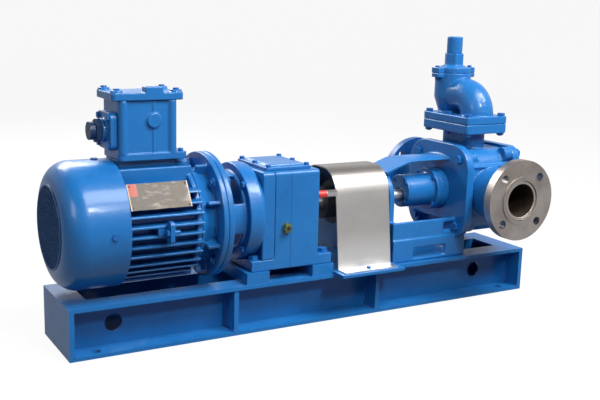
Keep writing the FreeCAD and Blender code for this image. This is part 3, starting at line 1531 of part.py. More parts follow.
def shuttle_block():
    """Sliding block: flat sides in the slot, ends curved like the drum, bore on the crank pin."""
    x = f"({CHAMBER} + drum_gap + block_side_gap)"
    length = "(drum_length - drum_back - 2 * block_side_gap)"
    width = "(slot_width - 2 * block_fit)"
    flat = middle_block(x, "0", f"{PIN_Z} - drum_radius", length, width, "2 * drum_radius")
    above = rod("X", x, "0", f"{PIN_Z} + 2 * crank_throw", length, "drum_radius - drum_gap")
    below = rod("X", x, "0", f"{PIN_Z} - 2 * crank_throw", length, "drum_radius - drum_gap")
    bore = rod("X", x, "0", PIN_Z, length, "crank_pin + running_fit")
    return node("shuttle_block", cut(overlap(overlap(flat, above), below), [bore]))


# Pump casing with opposed ports and the neck of the relief valve
def pump_casing():
    body = rounded("X", CASING, "0", PUMP_Z, "casing_length", "2 * casing_half_width",
                   "2 * casing_half_height", "casing_round")
    x = CASING_MIDDLE
    hub = "(port_reach - pipe_flange_thick)"
    hubs = rod("Y", x, f"-{hub}", PUMP_Z, f"2 * {hub}", "port_hub")
    pipe = rod("Y", x, "-port_reach + 2", PUMP_Z, "2 * port_reach - 4", "port_pipe")
    neck = rounded("Z", f"{PUMP_Z} + neck_root", VALVE_X, "0", f"valve_neck_height - {PUMP_Z} - neck_root",
                   "2 * valve_neck_half", "2 * valve_neck_reach", "valve_neck_half - 1")
    flange = rounded("Z", "valve_neck_height", VALVE_X, "0", "casing_flange_thick", "valve_flange_length",
                     "valve_flange_width", "valve_flange_round")
    ribs = [block(f"{CASING} + casing_rib_thick",
                  f"{s} * (casing_half_width + casing_rib_rise) - {1 if s > 0 else 0} * casing_rib",
                  f"{PUMP_Z} + casing_half_height - casing_round + casing_rib_thick",
                  "casing_length - 2 * casing_rib_thick", "casing_rib", "casing_rib_thick")
            for s in (-1, 1)]
    chamber = rod("X", CASING, "0", PUMP_Z, "casing_length", "drum_radius + drum_gap")
    recess = rod("X", CASING, "0", PUMP_Z, "cover_recess", "cover_recess_radius")
    port = rod("Y", x, "-port_reach", PUMP_Z, "2 * port_reach", "port_bore")
    inner = "(port_reach - 2 - port_wall)"
    pocket = rod("Y", x, f"-{inner}", PUMP_Z, f"2 * {inner}", "port_pocket")
    galleries = [rod("X", f"{x} - gallery_length / 2", f"{s} * gallery_shift", PUMP_Z, "gallery_length",
                     "gallery_radius") for s in (-1, 1)]
    ways = [rod("Z", VALVE_X, y, PUMP_Z, f"{VALVE_BASE} - {PUMP_Z}", "valve_passage")
            for y in ("valve_offset - valve_way_shift", "-return_offset")]
    holes = [rod("Z", bx, by, "valve_neck_height", "casing_flange_thick", "valve_bolt + screw_clearance")
             for bx, by in VALVE_BOLTS]
    taps = [rod("X", CASING, y, z, "casing_tap", "casing_bolt") for y, z in FRONT_CORNERS]
    taps += [rod("X", f"{CASING_END} - rear_tap", y, z, "rear_tap", "casing_bolt") for y, z in REAR_CORNERS]
    pads = []
    for y, z in REAR_CORNERS:
        pads.append(rod("X", f"{CASING_END} - tap_pad_length", y, z, "tap_pad_length", "tap_pad"))
    for y, z in FRONT_CORNERS:
        pads.append(rod("X", CASING, y, z, "tap_pad_length", "tap_pad"))
    solid = join([body, hubs, pipe, neck, flange] + ribs + pads)
    return node("pump_casing", cut(solid, [chamber, recess, port, pocket] + galleries + ways + holes + taps))


def pipe_flanges():
    """Drilled ring flanges with a raised face, slipped over the casing's pipes."""
    back = "(port_reach - pipe_flange_thick)"
    parts = []
    for side in (-1, 1):
        edge = f"-port_reach + pipe_raised_height" if side < 0 else back
        face = "-port_reach" if side < 0 else "port_reach - pipe_raised_height"
        plate = "pipe_flange_thick - pipe_raised_height"
        disc = rod("Y", CASING_MIDDLE, edge, PUMP_Z, plate, "pipe_flange_radius")
        raised = rod("Y", CASING_MIDDLE, face, PUMP_Z, "pipe_raised_height", "pipe_raised_face")
        start = "-port_reach" if side < 0 else back
        holes = [rod("Y", CASING_MIDDLE, start, PUMP_Z, "pipe_flange_thick", "port_pipe")]
        for angle in (45, 135, 225, 315):
            holes.append(rod("Y", f"{CASING_MIDDLE} + pipe_pitch_radius * cos({angle})", start,
                             f"{PUMP_Z} + pipe_pitch_radius * sin({angle})", "pipe_flange_thick",
                             "pipe_bolt_hole"))
        parts.append(cut(join([disc, raised]), holes))
    return node("pipe_flanges", group(parts))


def rear_cover():
    plate = rounded("X", CASING_END, "0", PUMP_Z, "rear_plate_thick", "rear_plate_size",
                    "rear_plate_size", "rear_plate_round")
    nose = rod("X", REAR_FACE, "0", PUMP_Z, "rear_spigot", "drum_radius + drum_gap")
    boss = rod("X", f"{CASING_END} + rear_plate_thick", "0", PUMP_Z, "rear_boss_length", "rear_boss")
    bore = rod("X", REAR_FACE, "0", PUMP_Z, "drum_stub_length + 4", "drum_stub + bush_wall")
    holes = [rod("X", CASING_END, y, z, "rear_plate_thick", "casing_bolt + bolt_clearance")
             for y, z in REAR_CORNERS]
    return node("rear_cover", cut(join([plate, nose, boss]), [bore] + holes))


def casing_bolts():
    """Bolts through the bracket plate and the rear cover into the casing."""
    parts = [bolt("X", 1, PLATE, y, z, "plate_thick + casing_bolt_reach", "casing_bolt")
             for y, z in FRONT_CORNERS]
    back = f"({CASING_END} + rear_plate_thick)"
    parts += [bolt("X", -1, back, y, z, "rear_plate_thick + rear_bolt_reach", "casing_bolt")
              for y, z in REAR_CORNERS]
    return node("casing_bolts", group(parts))


# Relief valve: body with an elbow back to the other port, seat, disc, spring, bonnet and cap
VALVE_BOLTS = [(f"{VALVE_X} + {a} * (valve_flange_length / 2 - valve_bolt_edge)",
                f"{b} * (valve_flange_width / 2 - valve_bolt_edge)") for a in (-1, 1) for b in (-1, 0, 1)]


def elbow(radius, y, z):
    """A quarter bend in the YZ plane from a level run to a leg pointing down."""
    item = doc.addObject("Part::Torus", "Elbow")
    item.Angle3 = 90
    spin = FreeCAD.Rotation(FreeCAD.Vector(0, 0, 1), FreeCAD.Vector(0, -1, 0), FreeCAD.Vector(1, 0, 0))
    item.Placement = FreeCAD.Placement(FreeCAD.Vector(), spin)
    tie(item, "Radius1", "elbow_bend")
    tie(item, "Radius2", radius)
    place(item, VALVE_X, y, z)
    return item


def valve_body():
    base = VALVE_FLANGE_TOP
    y = "valve_offset"
    flange = rounded("Z", VALVE_BASE, VALVE_X, "0", "valve_flange_thick", "valve_flange_length",
                     "valve_flange_width", "valve_flange_round")
    foot = cone("Z", VALVE_X, y, base, "valve_taper", "valve_foot_radius", "valve_radius")
    tower = rod("Z", VALVE_X, y, f"{base} + valve_taper", "valve_height - valve_taper", "valve_radius")
    bend_y = "(elbow_bend - return_offset)"
    run = rod("Y", VALVE_X, bend_y, f"{base} + elbow_bend", f"valve_offset - {bend_y}", "elbow_radius")
    ears = [middle_block(f"{VALVE_X} - bonnet_ear", y, f"{VALVE_TOP} - bonnet_ear_thick", "2 * bonnet_ear",
                         "bonnet_ear_width", "bonnet_ear_thick")]
    solid = join([flange, foot, tower, run, elbow("elbow_radius", bend_y, base)] + ears)
    room = rod("Z", VALVE_X, y, f"{SEAT_TOP} - seat_stand", f"{VALVE_TOP} - {SEAT_TOP} + seat_stand",
               "valve_radius - valve_wall")
    inlet = rod("Z", VALVE_X, y, VALVE_BASE, f"{SEAT_TOP} - {VALVE_BASE}", "seat_bore")
    pocket = rod("Z", VALVE_X, y, f"{SEAT_TOP} - seat_thick", "seat_thick", "seat_ring")
    way = rod("Y", VALVE_X, bend_y, f"{base} + elbow_bend", f"valve_offset - {bend_y}", "elbow_bore")
    drop = rod("Z", VALVE_X, "-return_offset", VALVE_BASE, "valve_flange_thick", "valve_passage")
    tools = [room, inlet, pocket, way, drop, elbow("elbow_bore", bend_y, base)]
    tools += [rod("Z", bx, by, VALVE_BASE, "valve_flange_thick", "valve_bolt + screw_clearance")
              for bx, by in VALVE_BOLTS]
    tools += [rod("Z", f"{VALVE_X} + {s} * (bonnet_ear - bonnet_bolt_edge)", y,
                  f"{VALVE_TOP} - bonnet_ear_thick", "bonnet_ear_thick", "bonnet_bolt") for s in (-1, 1)]
    return node("valve_body", cut(solid, tools))


def valve_seat():
    seat = ring("Z", VALVE_X, "valve_offset", f"{SEAT_TOP} - seat_thick", "seat_thick", "seat_ring",
                "seat_bore")
    return node("valve_seat", seat)


def valve_disc():
    """Guided disc that lifts off the seat, with its stem in the adjusting screw."""
    top = "(disc_thick + stem_length)"
    points = [("0", "0"), ("0", "disc_radius - 2"), ("2", "disc_radius"),
              ("disc_thick - 2", "disc_radius"), ("disc_thick", "disc_radius - 2"),
              ("disc_thick", "stem_radius"), (top, "stem_radius"), (top, "0")]
    return node("valve_disc", turned("Z", VALVE_X, "valve_offset", SEAT_TOP, points))


SPRING_Z = f"({SEAT_TOP} + disc_thick)"
SCREW_Z = f"({SPRING_Z} + spring_length)"


def valve_spring():
    """Closed helical spring between the disc and the plate of the adjusting screw."""
    wire = value("spring_wire")
    mean = value("spring_radius")
    rise = value("spring_length") - 2 * wire - 2 * value("spring_gap")
    sides = int(value("spring_sides"))
    steps = int(value("spring_steps") * value("spring_turns"))
    loops = []
    for step in range(steps + 1):
        turn = 2 * math.pi * step / value("spring_steps")
        loop = []
        for side in range(sides):
            tilt = 2 * math.pi * side / sides
            reach = mean + wire * math.cos(tilt)
            height = rise * step / steps + wire * math.sin(tilt)
            loop.append(FreeCAD.Vector(reach * math.cos(turn), reach * math.sin(turn), height))
        loops.append(loop)
    faces = [Part.Face(Part.makePolygon(end + [end[0]])) for end in (loops[0], loops[-1])]
    for near, far in zip(loops, loops[1:]):
        for side in range(sides):
            other = (side + 1) % sides
            for corners in ((near[side], near[other], far[side]), (near[other], far[other], far[side])):
                faces.append(Part.Face(Part.makePolygon([*corners, corners[0]])))
    item = doc.addObject("Part::Feature", "Spring")
    item.Shape = Part.makeSolid(Part.makeShell(faces))
    foot = value(SPRING_Z) + wire + value("spring_gap")
    spot = FreeCAD.Vector(value(VALVE_X), value("valve_offset"), foot)
    item.Placement = FreeCAD.Placement(spot, FreeCAD.Rotation())
    return node("valve_spring", item)


def adjusting_screw():
    y = "valve_offset"
    top = f"({BONNET_TOP} + bonnet_hex_height + screw_tail)"
    plate = rod("Z", VALVE_X, y, SCREW_Z, "screw_plate_thick", "screw_plate")
    thread = rod("Z", VALVE_X, y, SCREW_Z, f"{top} - {SCREW_Z}", "screw_radius")
    bore = rod("Z", VALVE_X, y, SCREW_Z, "stem_length - spring_length + screw_bore_room",
               "stem_radius + running_fit")
    return node("adjusting_screw", cut(join([plate, thread]), [bore]))


def valve_bonnet():
    y = "valve_offset"
    disc = rod("Z", VALVE_X, y, VALVE_TOP, "bonnet_thick", "bonnet_radius")
    ear = middle_block(f"{VALVE_X} - bonnet_ear", y, VALVE_TOP, "2 * bonnet_ear", "bonnet_ear_width",
                       "bonnet_thick")
    hood = hexagon("Z", VALVE_X, y, BONNET_TOP, "bonnet_hex_height", "bonnet_hex / cos(30)")
    dome = cone("Z", VALVE_X, y, BONNET_TOP, "bonnet_dome", "bonnet_radius - 5", "bonnet_hex + 3")
    bore = rod("Z", VALVE_X, y, VALVE_TOP, "bonnet_thick + bonnet_hex_height", "screw_radius")
    holes = [rod("Z", f"{VALVE_X} + {s} * (bonnet_ear - bonnet_bolt_edge)", y, VALVE_TOP, "bonnet_thick",
                 "bonnet_bolt + screw_clearance") for s in (-1, 1)]
    return node("valve_bonnet", cut(join([disc, ear, dome, hood]), [bore] + holes))


def valve_cap():
    y = "valve_offset"
    base = f"({BONNET_TOP} + bonnet_hex_height)"
    hollow = "cap_radius - cap_wall"
    points = [("0", hollow), ("0", "cap_radius"), ("cap_height - 2", "cap_radius"),
              ("cap_height", "cap_radius - 2"), ("cap_height", "0"), ("cap_height - cap_wall", "0"),
              ("cap_height - cap_wall", hollow)]
    return node("valve_cap", turned("Z", VALVE_X, y, base, points))


def valve_bolts():
    parts = []
    for x, y in VALVE_BOLTS:
        length = "(valve_flange_thick + casing_flange_thick)"
        through = bolt("Z", -1, x, y, VALVE_FLANGE_TOP, f"{length} + valve_bolt_tail", "valve_bolt")
        nut = hexagon("Z", x, y, "valve_neck_height - valve_bolt", "valve_bolt",
                      "bolt_corner_ratio * valve_bolt")
        parts.append(join([through, nut]))
    for side in (-1, 1):
        x = f"{VALVE_X} + {side} * (bonnet_ear - bonnet_bolt_edge)"
        through = bolt("Z", -1, x, "valve_offset", BONNET_TOP, "bonnet_thick + bonnet_ear_thick + 8",
                       "bonnet_bolt")
        nut = hexagon("Z", x, "valve_offset", f"{VALVE_TOP} - bonnet_ear_thick - nut_thick", "nut_thick",
                      "bolt_corner_ratio * bonnet_bolt")
        parts.append(join([through, nut]))
    return node("valve_bolts", group(parts))


def cover_screws():
    """Small screws of the terminal lid, the gearcase cover, the guard and the bearing housing."""
    parts = []
    lid = f"({MOTOR_Z} + box_seat + box_flange_thick + box_height + lid_thick + lid_boss_rise)"
    for dx in (-1, 1):
        for dy in (-1, 1):
            x = f"box_centre + {dx} * (lid_length / 2 - lid_corner)"
            parts.append(hexagon("Z", x, f"{dy} * (lid_width / 2 - lid_corner)", lid, "screw_head_height",
                                 "screw_head_corner"))
            z = f"{ENTRY_Z} + {dx} * (entry_plate_height / 2 - entry_screw_edge)"
            x = "box_centre - box_length / 2 - entry_plate_thick - entry_screw_head"
            y = f"{dy} * (entry_plate_width / 2 - entry_screw_edge)"
            parts.append(hexagon("X", x, y, z, "entry_screw_head", "screw_head_corner"))
    cowl_x = f"({FRAME} - cowl_screw_place)"
    for side in (-1, 1):
        edge = f"{side} * cowl_radius - {0 if side > 0 else 1} * screw_head_height"
        parts.append(hexagon("Y", cowl_x, edge, MOTOR_Z, "screw_head_height", "cowl_screw_corner"))
        parts.append(hexagon("Z", cowl_x, "0", f"{MOTOR_Z} + {edge}", "screw_head_height",
                             "cowl_screw_corner"))
    top = f"({PAD_TOP} + case_height + top_cover_thick)"
    for dx in (-1, 1):
        for dy in (-1, 0, 1):
            edge = "top_cover_inset - top_cover_screw_edge"
            x = f"case_start + case_length / 2 + {dx} * (case_length / 2 - {edge})"
            y = f"{dy} * (case_width / 2 - {edge})"
            parts.append(hexagon("Z", x, y, top, "top_screw_head", "screw_head_corner"))
    for side in (-1, 1):
        seat = "base_height + support_thick + guard_sheet"
        parts.append(bolt("Z", -1, GUARD_BOLT_X, f"{side} * {GUARD_BOLT_Y}", seat,
                          "support_thick + guard_sheet", "cover_screw"))
    ring_x = f"{COVER_BOSS} - housing_flange_thick"
    for angle in (45, 135, 225, 315):
        y = f"(housing_flange - rim_screw_edge) * cos({angle})"
        z = f"{PUMP_Z} + (housing_flange - rim_screw_edge) * sin({angle})"
        parts.append(hexagon("X", f"{ring_x} - rim_screw_head", y, z, "rim_screw_head",
                             "rim_screw_corner"))
        y = f"(housing_radius - cap_screw_edge) * cos({angle})"
        z = f"{PUMP_Z} + (housing_radius - cap_screw_edge) * sin({angle})"
        parts.append(hexagon("X", f"{HOUSING} - housing_cap - screw_head_height", y, z,
                             "screw_head_height", "cap_screw_corner"))
    return node("cover_screws", group(parts))


for build in (
    channel_rails, end_channels, rail_stiffeners, foot_bolts, gearbox_pads,
    gearcase, gearcase_top_cover, oil_plug, vent_plug, counter_wheel, output_wheel, countershaft,
    output_shaft, gearbox_bearings, motor_frame, front_shield, rear_shield, stator_core,
    stator_windings, rotor_core, motor_shaft, motor_bearings, fan_cowl, cooling_fan, nameplate,
    earth_lug, terminal_box, terminal_lid, cable_entry_plate, cable_plug, motor_adaptor,
    flange_bolts, coupling_hubs, coupling_spider, coupling_guard, guard_support_plate,
    pump_bracket, front_cover, bearing_housing, bearing_cap, pump_bearings, shaft_seals,
    pump_bushes, crank_shaft, rotor_drum, shuttle_block, pump_casing, pipe_flanges, rear_cover,
    casing_bolts, valve_body, valve_seat, valve_disc, valve_spring, adjusting_screw, valve_bonnet,
    valve_cap, valve_bolts, cover_screws,
):
    build()

doc.recompute()
for item in doc.Objects:
    if "Invalid" in item.State or "Error" in item.State:
        raise RuntimeError(f"{item.Label} did not compute")
for item in nodes:
    if item.Shape.isNull() or not item.Shape.isValid() or not item.Shape.Solids:
        raise RuntimeError(f"{item.Label} has no valid solid")

os.makedirs("parts", exist_ok=True)
for item in nodes:
    item.Shape.exportStep(f"parts/{item.Label}.step")
    print(item.Label, len(item.Shape.Solids), round(item.Shape.Volume / 1000, 1))
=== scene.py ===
import math

import bmesh
import bpy
from mathutils import Matrix, Vector


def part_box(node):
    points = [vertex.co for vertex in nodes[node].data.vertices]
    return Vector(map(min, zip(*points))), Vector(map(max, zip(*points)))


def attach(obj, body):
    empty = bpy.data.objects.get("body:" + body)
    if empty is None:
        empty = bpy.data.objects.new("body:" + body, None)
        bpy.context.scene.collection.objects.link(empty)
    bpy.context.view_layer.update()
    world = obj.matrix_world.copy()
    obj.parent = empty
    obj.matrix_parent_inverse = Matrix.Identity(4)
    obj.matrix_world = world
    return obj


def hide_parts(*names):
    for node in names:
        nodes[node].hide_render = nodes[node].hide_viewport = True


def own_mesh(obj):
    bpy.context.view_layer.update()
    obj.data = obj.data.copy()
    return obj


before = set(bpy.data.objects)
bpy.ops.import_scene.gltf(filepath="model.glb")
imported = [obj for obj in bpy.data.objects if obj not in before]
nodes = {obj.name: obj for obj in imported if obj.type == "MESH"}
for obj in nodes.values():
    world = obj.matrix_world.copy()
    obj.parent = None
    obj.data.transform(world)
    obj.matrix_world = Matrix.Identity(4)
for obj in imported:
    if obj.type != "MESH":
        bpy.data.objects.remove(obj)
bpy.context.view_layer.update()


# Studio: a pale round floor that sweeps up into a wall, under soft boxes and a dim ceiling.
# The board is painted white; only a part of its light comes back onto the pump set.
class Wire:
    """One value on a node sheet; arithmetic on it adds the nodes that do the sum."""

    def __init__(self, sheet, socket):
        self.sheet = sheet
        self.socket = socket

    def sum(self, kind, first, second=0.0):
        return self.sheet.add("ShaderNodeMath", {"operation": kind}, {0: first, 1: second})

    def __add__(self, other):
        return self.sum("ADD", self, other)

    def __radd__(self, other):
        return self.sum("ADD", other, self)

    def __sub__(self, other):
        return self.sum("SUBTRACT", self, other)

    def __rsub__(self, other):
        return self.sum("SUBTRACT", other, self)

    def __mul__(self, other):
        return self.sum("MULTIPLY", self, other)

    def __rmul__(self, other):
        return self.sum("MULTIPLY", other, self)

    def __truediv__(self, other):
        return self.sum("DIVIDE", self, other)

    def __pow__(self, other):
        return self.sum("POWER", self, other)

    def over(self, other):
        return self.sum("GREATER_THAN", self, other)

    def least(self, other):
        return self.sum("MINIMUM", self, other)

    def most(self, other):
        return self.sum("MAXIMUM", self, other)

    def up(self):
        return self.sum("CEIL", self)

    def root(self):
        return self.sum("SQRT", self)

    def wave(self):
        return self.sum("SINE", self)

    def size(self):
        return self.sum("ABSOLUTE", self)

    def step(self, low, high):
        """0 below low, 1 above high, smooth between."""
        return self.sheet.add("ShaderNodeMapRange", {"interpolation_type": "SMOOTHSTEP"},
                              {0: self, 1: low, 2: high, 3: 0.0, 4: 1.0})

    def parts(self):
        split = self.sheet.add("ShaderNodeSeparateXYZ", sockets={0: self}).socket.node
        return [Wire(self.sheet, split.outputs[i]) for i in range(3)]


class Sheet:
    """A node sheet; one method adds any node, with its settings and sockets."""

    def __init__(self, tree):
        self.tree = tree

    def add(self, kind, settings=None, sockets=None, output=0):
        node = self.tree.nodes.new(kind)
        for name, item in (settings or {}).items():
            setattr(node, name, item)
        for name, item in (sockets or {}).items():
            self.feed(node.inputs[name], item)
        return Wire(self, node.outputs[output])

    def feed(self, socket, item):
        if isinstance(item, Wire):
            self.tree.links.new(item.socket, socket)
        elif hasattr(item, "__len__") and len(item) == 3 and socket.type == "RGBA":
            socket.default_value = (*item, 1.0)
        else:
            socket.default_value = item

    def blend(self, amount, low, high):
        return self.add("ShaderNodeMix", {"data_type": "RGBA"}, {0: amount, 6: low, 7: high}, output=2)

    def rays(self):
        """Rays from the camera, and rays from it or off metal and glass."""
        path = self.add("ShaderNodeLightPath").socket.node
        camera = Wire(self, path.outputs["Is Camera Ray"])
        seen = camera
        for name in ("Is Glossy Ray", "Is Transmission Ray"):
            seen = seen.most(Wire(self, path.outputs[name]))
        return camera, seen


class Finish(Sheet):
    """A material and the node sheet that works out its colour, gloss and grain."""

    def __init__(self, name):
        self.material = bpy.data.materials.new(name)
        self.material.use_nodes = True
        super().__init__(self.material.node_tree)
        self.tree.nodes.clear()
        self.surface = self.tree.nodes.new("ShaderNodeBsdfPrincipled")
        self.end = self.tree.nodes.new("ShaderNodeOutputMaterial")
        self.tree.links.new(self.surface.outputs[0], self.end.inputs[0])

    def set(self, **items):
        for name, item in items.items():
            self.feed(self.surface.inputs[name.replace("_", " ").title().replace("Ior", "IOR")], item)
        return self

    def place(self):
        return self.add("ShaderNodeTexCoord", output="Object")

    def axes(self):
        """The three coordinates of a point on the piece, in metres."""
        return self.place().parts()

    def stretch(self, sizes):
        return self.add("ShaderNodeMapping", sockets={"Vector": self.place(), "Scale": sizes})

    def noise(self, scale, detail=2.0, rough=0.5, where=None):
        return self.add("ShaderNodeTexNoise", {}, {"Vector": where or self.place(), "Scale": scale,
                                                   "Detail": detail, "Roughness": rough})

    def facing(self, axis):
        """How far the surface faces along an axis, from -1 to 1."""
        return self.add("ShaderNodeNewGeometry", output="Normal").parts()[axis]

    def relief(self, height, depth):
        return self.add("ShaderNodeBump", sockets={"Height": height, "Distance": depth, "Strength": 1.0})


floor_reach = 5.0
sweep = 1.5
sweep_steps = 12
wall_height = 6.0
around = 72
floor_drop = 0.0002
floor_mesh = bpy.data.meshes.new("studio_floor")
rings = [(floor_reach / 2, 0.0)]
for step in range(sweep_steps + 1):
    turn = math.radians(90 * step / sweep_steps)
    rings.append((floor_reach + sweep * math.sin(turn), sweep - sweep * math.cos(turn)))
rings.append((floor_reach + sweep, wall_height))
floor_points = [(0.0, 0.0, -floor_drop)]
for reach, height in rings:
    for k in range(around):
        turn = math.tau * k / around
        floor_points.append((reach * math.cos(turn), reach * math.sin(turn), height - floor_drop))
floor_faces = [(0, 1 + k, 1 + (k + 1) % around) for k in range(around)]
for ring in range(len(rings) - 1):
    for k in range(around):
        near, next_near = 1 + ring * around + k, 1 + ring * around + (k + 1) % around
        floor_faces.append((near, near + around, next_near + around, next_near))
floor_mesh.from_pydata(floor_points, [], floor_faces)
for face in floor_mesh.polygons:
    face.use_smooth = True
studio_floor = bpy.data.objects.new("studio_floor", floor_mesh)
bpy.context.scene.collection.objects.link(studio_floor)
board = Finish("white_board")
camera_ray, seen_ray = board.rays()
board_tone = board.blend(camera_ray, (0.12, 0.12, 0.13), (0.92, 0.92, 0.92))
board.set(base_color=board_tone, roughness=0.9, specular_ior_level=0.0)
camera_share = 0.92
floor_share = 0.40
wall_gain = 0.35
wall_share = board.axes()[2].step(0.1, 1.6) * wall_gain + floor_share
shown = camera_ray * camera_share + (seen_ray - camera_ray) * wall_share
glow = board.add("ShaderNodeEmission", sockets={"Color": (1.0, 1.0, 1.0), "Strength": 1.0})
painted_board = Wire(board, board.surface.outputs[0])
mixed = board.add("ShaderNodeMixShader", sockets={0: shown, 1: painted_board, 2: glow})
board.tree.links.new(mixed.socket, board.end.inputs[0])
floor_mesh.materials.append(board.material)

studio_air = bpy.data.worlds.new("studio_air")
bpy.context.scene.world = studio_air
studio_air.use_nodes = True
air = Sheet(studio_air.node_tree)
camera_ray, seen_ray = air.rays()
fill_strength = 0.22
ceiling_dimming = 0.80
ceiling = air.add("ShaderNodeTexCoord", output="Generated").parts()[2].step(0.15, 0.75) * ceiling_dimming
sky = studio_air.node_tree.nodes["Background"]
air.feed(sky.inputs["Color"], air.blend(seen_ray, (0.80, 0.85, 0.93), (1.0, 1.0, 1.0)))
mirrored = (seen_ray - camera_ray) * (1.0 - ceiling)
air.feed(sky.inputs["Strength"], (1.0 - seen_ray) * fill_strength + camera_ray + mirrored)


def soft_box(name, place, aim, width, height, power):
    lamp = bpy.data.lights.new(name, "AREA")
    lamp.shape = "RECTANGLE"
    lamp.size = width
    lamp.size_y = height
    lamp.energy = power
    holder = bpy.data.objects.new(name, lamp)
    bpy.context.scene.collection.objects.link(holder)
    holder.location = place
    holder.rotation_euler = (Vector(aim) - Vector(place)).to_track_quat("-Z", "Y").to_euler()


soft_box("key_box", (0.45, -1.30, 2.40), (0.1, 0.0, 0.25), 1.6, 1.0, 62.0)
soft_box("glint_box", (0.06, -1.93, 1.62), (-0.2, 0.0, 0.28), 0.26, 0.30, 19.0)
soft_box("motor_end_box", (-2.3, -0.9, 1.3), (-0.3, 0.0, 0.25), 0.8, 0.8, 11.0)
soft_box("pump_end_box", (1.3, -1.25, 2.15), (0.4, 0.0, 0.36), 0.8, 0.9, 42.0)
soft_box("rear_box", (-0.4, 2.3, 2.0), (0.0, 0.0, 0.25), 1.6, 1.0, 72.0)

# Camera: stands low at the motor end and looks along to the pump.
pan = math.radians(30.04)
tilt = math.radians(11.60)
roll = math.radians(1.492)
lens_length = 55.40
camera_place = (-0.9825, -1.6648, 0.6399)
ahead = Vector((math.sin(pan) * math.cos(tilt), math.cos(pan) * math.cos(tilt), -math.sin(tilt)))
right = Vector((math.cos(pan), -math.sin(pan), 0.0))
above = right.cross(ahead)
right, above = (right * math.cos(roll) + above * math.sin(roll),
                above * math.cos(roll) - right * math.sin(roll))
camera_data = bpy.data.cameras.new("camera")
camera_data.lens = lens_length
camera_data.sensor_width = 36.0
camera = bpy.data.objects.new("camera", camera_data)
bpy.context.scene.collection.objects.link(camera)
turn = Matrix((right, above, -ahead)).transposed()
camera.matrix_world = Matrix.Translation(camera_place) @ turn.to_4x4()
bpy.context.scene.camera = camera
bpy.context.scene.view_settings.view_transform = "Standard"


# Channel base: hot rolled channels welded into a frame and sprayed blue in one go.
# Mill scale and spatter show through the enamel as a fine grain.
def enamel(name, grain=0.6, gloss=0.28, edges=False, tone=(0.012, 0.150, 0.43), clear=0.15, layers=None):
    """Sprayed blue enamel over a cast or rolled surface, with bare places, dirt and painted shade laid over
    it.
    """
    coat = Finish(name)
    cloud = coat.noise(7.0, 3.0, 0.6)
    blot = coat.noise(46.0, 3.0, 0.6)
    shade = (cloud.step(0.35, 0.75) * 0.55 + blot.step(0.45, 0.8) * 0.30).least(1.0)
    deep = tuple(part * scale for part, scale in zip(tone, (0.60, 0.72, 0.78)))
    colour = coat.blend(shade, tone, deep)
    dust = coat.facing(2).step(0.6, 1.0) * coat.noise(22.0, 4.0, 0.7).step(0.50, 0.78)
    colour = coat.blend(dust * 0.14, colour, (0.24, 0.32, 0.42))
    if edges:
        bend = coat.add("ShaderNodeNewGeometry", output="Pointiness")
        thin = bend.step(0.53, 0.60) * coat.noise(60.0, 3.0, 0.6).step(0.30, 0.6)
        # painted shade: hollows and creases, where pointiness is low, are painted dark navy; sharp edges show
        # paint worn thin.
        crease_shade = 1.0 - bend.step(0.42, 0.495)
        colour = coat.blend(thin * 0.30, colour, (0.07, 0.27, 0.58))
        colour = coat.blend(crease_shade * 0.65, colour, (0.003, 0.022, 0.085))
    rough = gloss + cloud * 0.10 + dust * 0.25
    metal = 0.0
    shine = clear - dust * clear * 0.6
    for mask, over_tone, over_rough, over_metal in (layers(coat) if layers else ()):
        colour = coat.blend(mask, colour, over_tone)
        rough = rough * (1.0 - mask) + mask * over_rough
        metal = mask * over_metal + metal * (1.0 - mask)
        shine = shine * (1.0 - mask)
    coat.set(base_color=colour, metallic=metal, coat_roughness=0.10, specular_ior_level=0.3)
    coat.set(coat_weight=shine, roughness=rough)
    cast = coat.noise(620.0, 3.0, 0.65)
    peel = coat.noise(150.0, 2.0, 0.5)
    coat.set(normal=coat.relief(cast * grain + peel * 0.8, 0.00035))
    return coat


def dress(names, finish):
    """Gives CAD nodes a finish."""
    for name in names:
        mesh = nodes[name].data
        mesh.materials.clear()
        mesh.materials.append(finish.material)


rolled_blue = enamel("rolled_blue", grain=0.35, gloss=0.30)
dress(["channel_rails", "end_channels", "rail_stiffeners", "gearbox_pads", "guard_support_plate"],
      rolled_blue)


